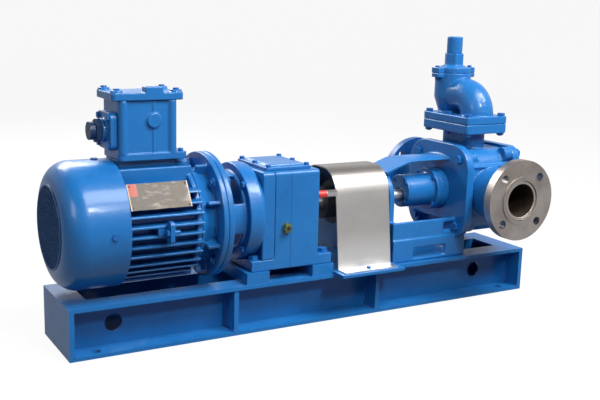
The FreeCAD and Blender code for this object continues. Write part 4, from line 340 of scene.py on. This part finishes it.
# Weld beads: stick-welded fillets that hold the stiffeners, ties and ends of the base.
# Each bead is a row of overlapping ripples, sprayed over with the frame.
class Pattern(Sheet):
    """A Geometry Nodes sheet that lays out a repeated part, with its sizes as named inputs."""

    def __init__(self, name, **sizes):
        super().__init__(bpy.data.node_groups.new(name, "GeometryNodeTree"))
        self.name = name
        self.sizes = {title.replace("_", " ").capitalize(): amount for title, amount in sizes.items()}
        self.tree.interface.new_socket("Geometry", in_out="INPUT", socket_type="NodeSocketGeometry")
        self.tree.interface.new_socket("Geometry", in_out="OUTPUT", socket_type="NodeSocketGeometry")
        for title in self.sizes:
            self.tree.interface.new_socket(title, in_out="INPUT", socket_type="NodeSocketFloat")
        entry = self.tree.nodes.new("NodeGroupInput")
        self.base = Wire(self, entry.outputs["Geometry"])
        self.given = [Wire(self, entry.outputs[title]) for title in self.sizes]

    def place(self):
        return self.add("GeometryNodeInputPosition")

    def aimed(self):
        """A turn that brings Z to the direction kept on each point."""
        aim = self.add("GeometryNodeInputNamedAttribute", {"data_type": "FLOAT_VECTOR"}, {"Name": "aim"})
        return self.add("FunctionNodeAlignRotationToVector", {"axis": "Z"}, {"Vector": aim})

    def build(self, shape, finish, body="base", seed=None, smooth=False):
        """Ends the sheet, runs it on its seed mesh and gives the plain piece to a body."""
        solid = self.add("GeometryNodeRealizeInstances", sockets={0: shape})
        solid = self.add("GeometryNodeSetShadeSmooth", sockets={0: solid, "Shade Smooth": smooth})
        solid = self.add("GeometryNodeSetMaterial", sockets={0: solid, "Material": finish.material})
        self.tree.links.new(solid.socket, self.tree.nodes.new("NodeGroupOutput").inputs["Geometry"])
        piece = bpy.data.objects.new(self.name, seed or bpy.data.meshes.new(self.name + "_seed"))
        bpy.context.scene.collection.objects.link(piece)
        layout = piece.modifiers.new("layout", "NODES")
        layout.node_group = self.tree
        for item in self.tree.interface.items_tree:
            if item.in_out == "INPUT" and item.name in self.sizes:
                layout[item.identifier] = self.sizes[item.name]
        bpy.context.view_layer.update()
        ready = piece.evaluated_get(bpy.context.evaluated_depsgraph_get())
        mesh = bpy.data.meshes.new_from_object(ready)
        piece.modifiers.clear()
        piece.data = mesh
        mesh.name = self.name
        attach(piece, body)
        return piece


def marks(name, places, aim=None):
    """A mesh of loose points, each with the direction that a part on it faces."""
    mesh = bpy.data.meshes.new(name)
    mesh.from_pydata([tuple(place) for place in places], [], [])
    kept = mesh.attributes.new("aim", "FLOAT_VECTOR", "POINT")
    for entry, item in zip(kept.data, aim or [(0.0, 0.0, 1.0)] * len(places)):
        entry.vector = item
    return mesh


web = 0.0423
web_back = 0.037
lip = 0.0850
foot = 0.0078
head = 0.0922
stiffener_sides = (-0.213, -0.203, 0.126, 0.136)
tie_sides = (-0.166, -0.156, -0.004, 0.006, 0.1985, 0.2085, 0.3435, 0.3535)
pad_ends = (-0.185, -0.135, -0.034, 0.016)
base_end = 0.535
seams = []
for x in stiffener_sides:
    for side in (-1, 1):
        seams.append(((x, side * web, foot), (x, side * web, head)))
        seams.append(((x, side * web, foot), (x, side * lip, foot)))
for x in tie_sides:
    for side in (-1, 1):
        seams.append(((x, side * web_back, 0.012), (x, side * web_back, 0.098)))
for x in (-base_end, base_end):
    for side in (-1, 1):
        seams.append(((x, side * web, foot), (x, side * web, head)))
        seams.append(((x, side * web, foot), (x, side * lip, foot)))
for x in pad_ends:
    for side in (-1, 1):
        seams.append(((x, side * 0.040, 0.100), (x, side * 0.083, 0.100)))
weld_seed = bpy.data.meshes.new("weld_seed")
weld_seed.from_pydata([end for seam in seams for end in seam],
                      [(2 * k, 2 * k + 1) for k in range(len(seams))], [])
weld = Pattern("weld_beads", ripple_pitch=0.0026, bead_half_width=0.0026)
ripple_pitch, bead_half_width = weld.given
line = weld.add("GeometryNodeMeshToCurve", sockets={0: weld.base})
steps = weld.add("GeometryNodeCurveToPoints", {"mode": "LENGTH"},
                 {"Curve": line, "Length": ripple_pitch})
ripple = weld.add("GeometryNodeMeshIcoSphere", sockets={"Radius": bead_half_width, "Subdivisions": 2})
swell = weld.add("FunctionNodeRandomValue", {"data_type": "FLOAT"}, {2: 0.82, 3: 1.12, "Seed": 5},
                 output=1)
beads = weld.add("GeometryNodeInstanceOnPoints",
                 sockets={"Points": steps, "Instance": ripple, "Scale": swell})
weld_blue = enamel("weld_blue", grain=0.5, gloss=0.32, tone=(0.007, 0.105, 0.36))
weld.build(beads, weld_blue, seed=weld_seed, smooth=True)

# Castings: iron, sand cast, fettled and sprayed; every edge is rounded by the mould.
# Each one is the CAD solid with its corners worn round and its skin smoothed.
cast_blue = enamel("cast_blue", grain=1.0, gloss=0.25, edges=True, clear=0.25)


def casting(name, body="base", grid=0.0016, rounds=6, keep=0.4, finish=cast_blue):
    """A copy of a CAD node with mould-rounded edges, which stands for the node."""
    mesh = nodes[name].data.copy()
    mesh.name = "cast_" + name
    shape = bmesh.new()
    shape.from_mesh(mesh)
    bmesh.ops.remove_doubles(shape, verts=shape.verts, dist=1e-5)
    shape.to_mesh(mesh)
    shape.free()
    piece = bpy.data.objects.new("cast_" + name, mesh)
    bpy.context.scene.collection.objects.link(piece)
    remesh = piece.modifiers.new("grid", "REMESH")
    remesh.mode = "VOXEL"
    remesh.voxel_size = grid
    smooth = piece.modifiers.new("wear", "SMOOTH")
    smooth.factor = 0.5
    smooth.iterations = rounds
    thin = piece.modifiers.new("thin", "DECIMATE")
    thin.ratio = keep
    bpy.context.view_layer.update()
    ready = piece.evaluated_get(bpy.context.evaluated_depsgraph_get())
    done = bpy.data.meshes.new_from_object(ready)
    piece.modifiers.clear()
    piece.data = done
    done.name = "cast_" + name
    done.materials.clear()
    done.materials.append(finish.material)
    for face in done.polygons:
        face.use_smooth = True
    bpy.data.meshes.remove(mesh)
    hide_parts(name)
    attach(piece, body)
    return piece


# Gearcase: housing, motor-end cover and lid, joined on thin gasket lines.
# The lid is a small casting held by six screws; a mould line runs down each side.
def mould_line(coat):
    x, y, z = coat.axes()
    line = 1.0 - ((x + 0.0855).size() - 0.0002).step(0.0, 0.0007)
    return [(line * 0.8, (0.003, 0.030, 0.11), 0.5, 0.0)]


case_blue = enamel("case_blue", grain=1.0, gloss=0.25, edges=True, clear=0.25, layers=mould_line)
casting("gearcase", finish=case_blue)
casting("gearcase_end_cover")
casting("gearcase_top_cover", grid=0.0012)

# Plugs: a brass drain and level plug on the front and a breather on the output side.
# The plug has a hexagon socket, painted as a dark disc of painted shade; the breather has a red plastic
# collar and a plated cap.
brass = Finish("plug_brass")
tarnish = brass.noise(120.0, 4.0, 0.7).step(0.30, 0.62)
bx, by, bz = brass.axes()
# painted shade: a dark, dull disc at the plug's middle stands for the inside of its socket.
socket_shade = 1.0 - ((bx + 0.0954) ** 2.0 + (bz - 0.209) ** 2.0).root().step(0.0042, 0.0050)
brass_tone = brass.blend(tarnish, (0.36, 0.34, 0.15), (0.06, 0.12, 0.08))
brass.set(base_color=brass.blend(socket_shade, brass_tone, (0.012, 0.014, 0.012)),
          metallic=0.85 - socket_shade * 0.8, roughness=0.34 + tarnish * 0.25)
dress(["oil_plug"], brass)
vent = Finish("vent_cap")
along = vent.axes()[0]
capped = along.step(-0.0012, -0.0002)
vent.set(base_color=vent.blend(capped, (0.55, 0.03, 0.02), (0.60, 0.60, 0.60)), metallic=capped,
         roughness=0.36 - capped * 0.08)
dress(["vent_plug"], vent)

# Screws and bolts: plated steel heads, sprayed over with the castings.
# The paint is thin on the corners of the real heads; here the heads are plain enamel.
bolt_blue = enamel("bolt_blue", grain=0.3, gloss=0.30, tone=(0.009, 0.13, 0.41), clear=0.2)
dress(["foot_bolts", "flange_bolts", "casing_bolts", "valve_bolts", "cover_screws"], bolt_blue)
gearbox_seats = ((-0.161, 0.062, 0.146), (0.001, 0.062, 0.146))
bracket_seats = ((0.2035, 0.0545, 0.106), (0.3485, 0.0545, 0.106))
washer_lift = 0.0007
washer_places = []
for x, y, z in gearbox_seats + bracket_seats:
    washer_places += [(x, -y, z + washer_lift), (x, y, z + washer_lift)]
washers = Pattern("foot_washers", washer_radius=0.0122, washer_thick=0.0015)
washer_radius, washer_thick = washers.given
disc = washers.add("GeometryNodeMeshCylinder", sockets={"Vertices": 28, "Radius": washer_radius,
                                                        "Depth": washer_thick})
laid = washers.add("GeometryNodeInstanceOnPoints", sockets={"Points": washers.base, "Instance": disc})
washers.build(laid, bolt_blue, seed=marks("washer_marks", washer_places))


# Gears, shafts and bearings inside the gearbox: alloy steel, hobbed and ground, filmed with oil.
# The grain runs round the shaft.
def ground_steel(name, tone=(0.55, 0.55, 0.56), rough=0.28):
    """Steel turned or ground about a line that runs along X."""
    steel = Finish(name)
    x, y, z = steel.axes()
    lines = steel.add("ShaderNodeTexNoise", {"noise_dimensions": "1D"}, {"W": x * 900.0, "Detail": 3.0})
    film = steel.noise(35.0, 3.0, 0.6)
    steel.set(base_color=steel.blend(film.step(0.4, 0.8) * 0.5, tone, tuple(c * 0.55 for c in tone)),
              metallic=1.0, roughness=film * 0.14 + rough)
    steel.set(normal=steel.relief(lines, 0.00006))
    return steel


shaft_steel = ground_steel("shaft_steel")
bright_steel = ground_steel("bright_steel", (0.66, 0.65, 0.62), 0.24)
dress(["counter_wheel", "output_wheel", "countershaft", "output_shaft", "crank_shaft", "motor_shaft",
       "adjusting_screw", "valve_spring"], shaft_steel)
dress(["gearbox_bearings", "motor_bearings", "pump_bearings", "rotor_drum", "valve_seat", "valve_disc"],
      bright_steel)

# Motor frame: finned iron casting with an earth lug, and the shields at its ends.
# The fins keep a sharp top edge, so the mould wear is light.
casting("motor_frame", grid=0.0014, rounds=3, keep=0.30)
casting("front_shield", grid=0.0016, rounds=4)
casting("rear_shield", grid=0.0020, rounds=3)
casting("motor_adaptor", grid=0.0018, rounds=5)
dress(["earth_lug"], bolt_blue)

# Lower cooling fins: three more ribs on each flank of the frame, cast in one with it.
# They stand closer together towards the bottom and each one ends a little sooner.
shaft_height = 0.236
fin_tip = 0.1175
rib_root = 0.0480
rib_foot = 0.0026
rib_edge = 0.0018
rib_corner = 0.0005
rib_start = -0.4355
rib_stop = -0.2905
rib_step = 0.0075
rib_drops = (0.0800, 0.0925, 0.1035)
lower_ribs = bmesh.new()
for side in (-1, 1):
    for k, drop in enumerate(rib_drops):
        tip = math.sqrt(fin_tip ** 2 - drop ** 2)
        section = [(rib_root, -rib_foot), (tip - rib_edge, -rib_edge), (tip - rib_corner, -rib_edge * 0.7),
                   (tip, 0.0), (tip - rib_corner, rib_edge * 0.7), (tip - rib_edge, rib_edge),
                   (rib_root, rib_foot)]
        rib_end = rib_stop - rib_step * k
        stations = ((rib_start, 0.0), (rib_end - 0.0040, 0.0), (rib_end - 0.0012, 0.0012), (rib_end, 0.0040))
        loops = []
        for x, shrink in stations:
            loop = []
            for out, up in section:
                y = side * max(rib_root, out - shrink)
                loop.append(lower_ribs.verts.new((x, y, shaft_height - drop + up)))
            loops.append(loop)
        for near, far in zip(loops, loops[1:]):
            for j in range(len(section)):
                n = (j + 1) % len(section)
                lower_ribs.faces.new((near[j], near[n], far[n], far[j]))
        lower_ribs.faces.new(loops[0])
        lower_ribs.faces.new(loops[-1])
bmesh.ops.recalc_face_normals(lower_ribs, faces=lower_ribs.faces)
ribs_mesh = bpy.data.meshes.new("lower_fins")
lower_ribs.to_mesh(ribs_mesh)
lower_ribs.free()
ribs_mesh.materials.append(cast_blue.material)
lower_fins = bpy.data.objects.new("lower_fins", ribs_mesh)
bpy.context.scene.collection.objects.link(lower_fins)
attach(lower_fins, "base")

# Fan cowl: deep drawn sheet with a rolled shoulder, sprayed glossy.
# Its inlet bars are painted darker, as painted shade.
inlet_middle = Vector((-0.553, 0.0, 0.236))


def inlet_shade(coat):
    x, y, z = coat.axes()
    reach = (y ** 2.0 + (z - inlet_middle.z) ** 2.0).root()
    # painted shade: the end face inside the grille ring is painted near black-blue.
    inlet = (1.0 - reach.step(0.0765, 0.0785)) * (1.0 - x.step(-0.5400, -0.5390))
    return [(inlet, (0.004, 0.014, 0.040), 0.65, 0.0)]


sheet_blue = enamel("sheet_blue", grain=0.05, gloss=0.25, clear=0.22, layers=inlet_shade)
dress(["fan_cowl"], sheet_blue)

# Inlet guard: woven steel wire over the bars, held under a pressed ring.
# The wires pass over and under each other.
# painted shade: the wire is a darker copy of the blue enamel, for the shaded inlet.
wire_blue = enamel("wire_blue", grain=0.1, gloss=0.45, tone=(0.014, 0.075, 0.22), clear=0.0)
weave = Pattern("inlet_mesh", mesh_reach=0.0785, wire_pitch=0.0038, wire_thick=0.0013)
mesh_reach, wire_pitch, wire_thick = weave.given
cells = (mesh_reach / wire_pitch).up() * 2.0
lattice = weave.add("GeometryNodeMeshGrid", sockets={
    "Size X": cells * wire_pitch, "Size Y": cells * wire_pitch,
    "Vertices X": cells + 1.0, "Vertices Y": cells + 1.0})
across, along, _ = weave.place().parts()
turn_across = (across * math.pi / wire_pitch + math.pi / 2).wave()
turn_along = (along * math.pi / wire_pitch + math.pi / 2).wave()
crossing = turn_across * turn_along * wire_thick * 0.5
ends = weave.add("GeometryNodeInputMeshEdgeVertices").socket.node
run = weave.add("ShaderNodeVectorMath", {"operation": "SUBTRACT"},
                {0: Wire(weave, ends.outputs["Position 1"]), 1: Wire(weave, ends.outputs["Position 2"])})
run_x, run_y, _ = run.parts()
distance = weave.add("ShaderNodeVectorMath", {"operation": "LENGTH"}, {0: weave.place()}, output="Value")
round_wire = weave.add("GeometryNodeCurvePrimitiveCircle",
                       sockets={"Resolution": 5, "Radius": wire_thick * 0.5})
woven = []
runs_across = run_x.size().over(run_y.size())
runs_along = run_y.size().over(run_x.size())
for sign, unwanted in ((1.0, runs_across), (-1.0, runs_along)):
    kept = weave.add("GeometryNodeDeleteGeometry", {"domain": "EDGE", "mode": "EDGE_FACE"},
                     {"Geometry": lattice, "Selection": unwanted})
    kept = weave.add("GeometryNodeDeleteGeometry", {"domain": "POINT"},
                     {"Geometry": kept, "Selection": distance.over(mesh_reach)})
    lift = weave.add("ShaderNodeCombineXYZ", sockets={2: crossing * sign})
    bent = weave.add("GeometryNodeSetPosition", sockets={"Geometry": kept, "Offset": lift})
    strand = weave.add("GeometryNodeMeshToCurve", sockets={0: bent})
    woven.append(weave.add("GeometryNodeCurveToMesh", sockets={"Curve": strand, "Profile Curve": round_wire}))
both = weave.add("GeometryNodeJoinGeometry", sockets={0: woven[0]})
weave.tree.links.new(woven[1].socket, both.socket.node.inputs[0])
upright = weave.add("GeometryNodeTransform", sockets={
    "Geometry": both, "Translation": inlet_middle - Vector((0.0012, 0.0, 0.0)),
    "Rotation": (0.0, math.pi / 2, 0.0)})
weave.build(upright, wire_blue, smooth=True)
rim = bpy.data.meshes.new("inlet_rim")
rim_shape = bmesh.new()
rim_profile = [(0.0, 0.0765), (-0.0016, 0.0770), (-0.0024, 0.0782), (-0.0022, 0.0796), (-0.0010, 0.0806),
               (0.0, 0.0810)]
rim_loop = []
for depth, reach in rim_profile:
    rim_loop.append(rim_shape.verts.new((inlet_middle.x + depth, reach, inlet_middle.z)))
rim_edges = []
for k in range(len(rim_loop)):
    rim_edges.append(rim_shape.edges.new((rim_loop[k], rim_loop[(k + 1) % len(rim_loop)])))
bmesh.ops.spin(rim_shape, geom=rim_loop + rim_edges, cent=inlet_middle, axis=(1, 0, 0),
               angle=2 * math.pi, steps=96, use_merge=True)
bmesh.ops.remove_doubles(rim_shape, verts=rim_shape.verts, dist=1e-6)
bmesh.ops.recalc_face_normals(rim_shape, faces=rim_shape.faces)
rim_shape.to_mesh(rim)
rim_shape.free()
# painted shade: the ring is a darker copy of the blue enamel, like the wire.
rim_blue = enamel("rim_blue", grain=0.05, gloss=0.34, tone=(0.010, 0.085, 0.26), clear=0.05)
rim.materials.append(rim_blue.material)
for face in rim.polygons:
    face.use_smooth = True
inlet_rim = bpy.data.objects.new("inlet_rim", rim)
bpy.context.scene.collection.objects.link(inlet_rim)
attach(inlet_rim, "base")

# Fan: moulded black plastic on the shaft.
# Its blades are straight, so that it blows either way round.
black_plastic = Finish("black_plastic")
dusty = black_plastic.noise(60.0).step(0.3, 0.8)
fan_tone = black_plastic.blend(dusty, (0.02, 0.02, 0.02), (0.045, 0.045, 0.045))
black_plastic.set(base_color=fan_tone, roughness=0.48, specular_ior_level=0.4)
dress(["cooling_fan"], black_plastic)

# Stator and rotor: stacked laminations and enamelled copper end turns.
# The stack shows as fine lines across the shaft.
lamination = Finish("lamination")
x = lamination.axes()[0]
stack = (x * 9000.0).wave() * 0.5 + 0.5
lamination.set(base_color=lamination.blend(stack, (0.16, 0.16, 0.17), (0.30, 0.30, 0.31)), metallic=0.8,
               roughness=0.5)
lamination.set(normal=lamination.relief(stack, 0.0002))
dress(["stator_core", "rotor_core"], lamination)
copper = Finish("copper_wire")
wound = (copper.noise(260.0, 2.0, 0.5) * 30.0).wave() * 0.5 + 0.5
copper.set(base_color=copper.blend(wound, (0.34, 0.12, 0.05), (0.72, 0.34, 0.18)), metallic=0.7,
           roughness=0.35)
copper.set(normal=copper.relief(wound, 0.0006))
dress(["stator_windings"], copper)

# Terminal box: heavy iron box with a bolted lid and a cable entry plate on its side.
# The entry is closed by a dark plug; socket screws hold the box on the frame.
casting("terminal_box", grid=0.0012, rounds=5)
casting("terminal_lid", grid=0.0012, rounds=5)
casting("cable_entry_plate", grid=0.0012, rounds=5)
plug_blue = enamel("plug_blue", grain=0.4, gloss=0.38, tone=(0.006, 0.030, 0.095), clear=0.1)
dress(["cable_plug"], plug_blue)
cap_screws = Pattern("box_screws", head_radius=0.0050, head_height=0.0060, socket_radius=0.0024)
head_radius, head_height, socket_radius = cap_screws.given
disc = cap_screws.add("GeometryNodeMeshCircle", {"fill_type": "NGON"},
                      {"Vertices": 18, "Radius": head_radius})
stages = ((1.0, 0.86, None), (1.0, 0.14, 0.90), (1.0, 0.0, socket_radius / head_radius), (-1.0, 0.45, None))
chosen = None
for sign, share, narrow in stages:
    sockets = {"Mesh": disc, "Offset Scale": head_height * (share * sign), "Individual": False}
    if chosen is not None:
        sockets["Selection"] = chosen
    grown = cap_screws.add("GeometryNodeExtrudeMesh", {"mode": "FACES"}, sockets).socket.node
    disc, chosen = Wire(cap_screws, grown.outputs["Mesh"]), Wire(cap_screws, grown.outputs["Top"])
    if narrow is not None:
        disc = cap_screws.add("GeometryNodeScaleElements", {"domain": "FACE"},
                              {"Geometry": disc, "Selection": chosen, "Scale": narrow})
seated = cap_screws.add("GeometryNodeInstanceOnPoints", sockets={
    "Points": cap_screws.base, "Instance": disc, "Rotation": cap_screws.aimed()})
screw_places = [(-0.3065, y, 0.3705) for y in (-0.034, 0.034)]
cap_screws.build(seated, bolt_blue, seed=marks("box_screw_marks", screw_places))

# Rating plate: thin dark bronze, bare, with a plain red corner.
# It is riveted across the fins at its four corners.
plate = Finish("plate_bronze")
px, py, pz = plate.axes()
low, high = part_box("nameplate")
red_end = 1.0 - px.step(low.x + 0.0175, low.x + 0.0190)
red_top = pz.step(0.3015, 0.3030)
rim_near = ((px - low.x).least(high.x - px)).step(0.0014, 0.0020)
stain = plate.noise(30.0, 5.0, 0.65)
worn = stain.step(0.40, 0.66)
scuff = plate.noise(110.0, 4.0, 0.65, plate.stretch((0.35, 1.0, 1.0))).step(0.53, 0.66)
bronze_tone = plate.blend(worn, (0.034, 0.027, 0.021), (0.085, 0.070, 0.054))
bronze_tone = plate.blend(scuff * 0.45, bronze_tone, (0.22, 0.19, 0.16))
bronze_tone = plate.blend(red_end * red_top * 0.9, bronze_tone, (0.21, 0.040, 0.028))
bronze_tone = plate.blend(1.0 - rim_near, bronze_tone, (0.30, 0.25, 0.18))
plate.set(base_color=bronze_tone, metallic=0.35, roughness=0.40 + worn * 0.14)
plate.set(normal=plate.relief(stain, 0.0004))
dress(["nameplate"], plate)
plate_shape = bmesh.new()
plate_shape.from_mesh(nodes["nameplate"].data)
outward = [face for face in plate_shape.faces if face.normal.y < -0.3]
front = max(outward, key=lambda face: face.calc_area())
plate_out = front.normal.copy()
plate_shape.free()
plate_up = plate_out.cross(Vector((1, 0, 0))).normalized()
if plate_up.z < 0:
    plate_up.negate()
corners = [vert.co for vert in nodes["nameplate"].data.vertices]
face_height = max(corner.dot(plate_out) for corner in corners)
tall = [corner.dot(plate_up) for corner in corners]
rivet_places = []
rivet_inset = 0.0045
for x in (low.x + rivet_inset, high.x - rivet_inset):
    for up in (min(tall) + rivet_inset, max(tall) - rivet_inset):
        rivet_places.append(Vector((x, 0, 0)) + plate_up * up + plate_out * face_height)
rivets = Pattern("plate_rivets", rivet_radius=0.0019)
rivet_radius, = rivets.given
dome = rivets.add("GeometryNodeMeshUVSphere", sockets={"Segments": 16, "Rings": 8, "Radius": rivet_radius})
dome = rivets.add("GeometryNodeTransform", sockets={"Geometry": dome, "Scale": (1.0, 1.0, 0.55)})
driven = rivets.add("GeometryNodeInstanceOnPoints", sockets={
    "Points": rivets.base, "Instance": dome, "Rotation": rivets.aimed()})
rivets.build(driven, plate, seed=marks("rivet_marks", rivet_places, [tuple(plate_out)] * 4), smooth=True)

# Coupling: iron hubs, painted near black as painted shade inside the guard, with three jaws each and a cast
# elastomer spider.
# The jaws meet inside the guard.
hub_shade_finish = Finish("phosphate_iron")
grey_cloud = hub_shade_finish.noise(60.0, 4.0, 0.6)
# painted shade: the hub iron is near black, for the dark inside of the guard.
hub_tone = hub_shade_finish.blend(grey_cloud, (0.035, 0.035, 0.037), (0.075, 0.075, 0.078))
hub_shade_finish.set(base_color=hub_tone, metallic=0.4, roughness=0.52)
hub_shade_finish.set(normal=hub_shade_finish.relief(grey_cloud, 0.0002))
dress(["coupling_hubs"], hub_shade_finish)
elastomer = Finish("red_elastomer")
elastomer.set(base_color=elastomer.blend(elastomer.noise(90.0), (0.30, 0.03, 0.02), (0.42, 0.05, 0.03)),
              roughness=0.45)
dress(["coupling_spider"], elastomer)

# Coupling guard: thin stainless sheet, brushed along the bend and folded over the coupling.
# Two screws hold its feet on the support plate; its top is painted dark as painted shade, with smears.
guard_steel = Finish("guard_steel")
strokes = guard_steel.noise(90.0, 4.0, 0.6, guard_steel.stretch((16.0, 0.4, 0.4)))
smear = guard_steel.noise(9.0, 4.0, 0.6)
gx, gy, gz = guard_steel.axes()
# painted shade on the top bend, with real smears: darker brown there.
dark_top_and_smear = gz.step(0.285, 0.312) * 0.42 + smear.step(0.35, 0.75) * 0.20
# painted reflection: lighter towards the foot, mid grey up the front and a light band below the top bend.
reflection_tone = guard_steel.blend(gz.step(0.12, 0.20), (0.84, 0.83, 0.82), (0.57, 0.555, 0.54))
reflection_tone = guard_steel.blend(gz.step(0.235, 0.275), reflection_tone, (0.64, 0.62, 0.60))
guard_steel.set(base_color=guard_steel.blend(dark_top_and_smear, reflection_tone, (0.17, 0.135, 0.115)), metallic=1.0,
                roughness=strokes * 0.16 + smear * 0.10 + 0.24)
guard_steel.set(normal=guard_steel.relief(strokes, 0.00008))
dress(["coupling_guard"], guard_steel)

# Pump bracket and its bearing housing: one heavy casting with a window, a yoke and a plate.
# The housing and its cap are turned from separate castings.
casting("pump_bracket", grid=0.0018, rounds=7)
casting("bearing_housing", grid=0.0012, rounds=4)
casting("bearing_cap", grid=0.0012, rounds=3)
casting("front_cover", grid=0.0016, rounds=4)
rubber = Finish("seal_rubber")
rubber.set(base_color=rubber.blend(rubber.noise(80.0), (0.02, 0.02, 0.02), (0.04, 0.04, 0.04)),
           roughness=0.6)
dress(["shaft_seals"], rubber)
bush_bronze = Finish("bush_bronze")
bush_tone = bush_bronze.blend(bush_bronze.noise(50.0), (0.50, 0.33, 0.14), (0.60, 0.42, 0.20))
bush_bronze.set(base_color=bush_tone, metallic=1.0, roughness=0.34)
dress(["pump_bushes", "shuttle_block"], bush_bronze)

# Pump casing with its ports, and the square rear cover.
# The pipe end is faced bright with its flange and the bore is left as it was cast.
port_x, port_z = 0.4225, 0.246


def port_ends(coat):
    x, y, z = coat.axes()
    radius = ((x - port_x) ** 2.0 + (z - port_z) ** 2.0).root()
    outer = y.size().step(0.060, 0.075)
    faced = (1.0 - radius.step(0.0445, 0.0452)) * (1.0 - y.step(-0.195, -0.185))
    bore = (1.0 - radius.step(0.0368, 0.0376)) * outer
    rust = coat.noise(90.0, 4.0, 0.6)
    rust_tone = coat.blend(rust, (0.016, 0.011, 0.009), (0.05, 0.036, 0.028))
    return [(faced, (0.50, 0.46, 0.42), 0.36, 1.0), (bore, rust_tone, 0.6, 0.2)]


port_blue = enamel("port_blue", grain=1.0, gloss=0.25, edges=True, clear=0.25, layers=port_ends)
casting("pump_casing", grid=0.0018, rounds=5, finish=port_blue)
casting("rear_cover", grid=0.0018, rounds=5)

# Pipe flanges: forged stainless rings, faced in the lathe, with a finely grooved raised face.
# The tool marks run round the bore; the rear one was painted over with the pump.
flange_steel = Finish("flange_steel")
fx, fy, fz = flange_steel.axes()
radius = ((fx - port_x) ** 2.0 + (fz - port_z) ** 2.0).root()
turned = flange_steel.add("ShaderNodeTexNoise", {"noise_dimensions": "1D"},
                          {"W": radius * 1400.0, "Detail": 3.0})
patch = flange_steel.noise(14.0, 4.0, 0.6)
painted = fy.step(0.0, 0.01)
lathe_tone = flange_steel.blend(patch.step(0.3, 0.7), (0.52, 0.475, 0.44), (0.33, 0.29, 0.265))
flange_tone = flange_steel.blend(painted, lathe_tone, (0.007, 0.105, 0.36))
flange_steel.set(base_color=flange_tone, metallic=1.0 - painted,
                 roughness=turned * 0.14 + patch * 0.10 + 0.30)
flange_steel.set(normal=flange_steel.relief(turned, 0.00012))
dress(["pipe_flanges"], flange_steel)

# Relief valve: cast body with a bend back to the other port, a bonnet and a screwed cap.
# The bend is smooth and thick with paint.
casting("valve_body", grid=0.0013, rounds=8)
casting("valve_bonnet", grid=0.0011, rounds=4)
casting("valve_cap", grid=0.0011, rounds=3)

# Relief valve spring: six turns of round steel wire, wound cold and ground at its ends.
# Its top stays under the adjusting screw; it is built at one length, though the disc presses the real one
# together as it lifts.
spring_low, spring_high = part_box("valve_spring")
spring_height = spring_high.z - spring_low.z
coil = Pattern("coiled_spring", coil_radius=0.0170, wire_radius=0.0022, turns=6.0, height=spring_height)
coil_radius, wire_radius, turns, height = coil.given
helix = coil.add("GeometryNodeCurveSpiral", sockets={
    "Resolution": 28, "Rotations": turns, "Start Radius": coil_radius, "End Radius": coil_radius,
    "Height": height - wire_radius * 2.0})
bar = coil.add("GeometryNodeCurvePrimitiveCircle", sockets={"Resolution": 10, "Radius": wire_radius})
wound_wire = coil.add("GeometryNodeCurveToMesh",
                      sockets={"Curve": helix, "Profile Curve": bar, "Fill Caps": True})
spring_x = (spring_low.x + spring_high.x) / 2
spring_y = (spring_low.y + spring_high.y) / 2
lifted = coil.add("ShaderNodeCombineXYZ", sockets={0: spring_x, 1: spring_y, 2: wire_radius + spring_low.z})
stood = coil.add("GeometryNodeTransform", sockets={"Geometry": wound_wire, "Translation": lifted})
spring = coil.build(stood, shaft_steel, smooth=True)
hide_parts("valve_spring")
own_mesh(spring)
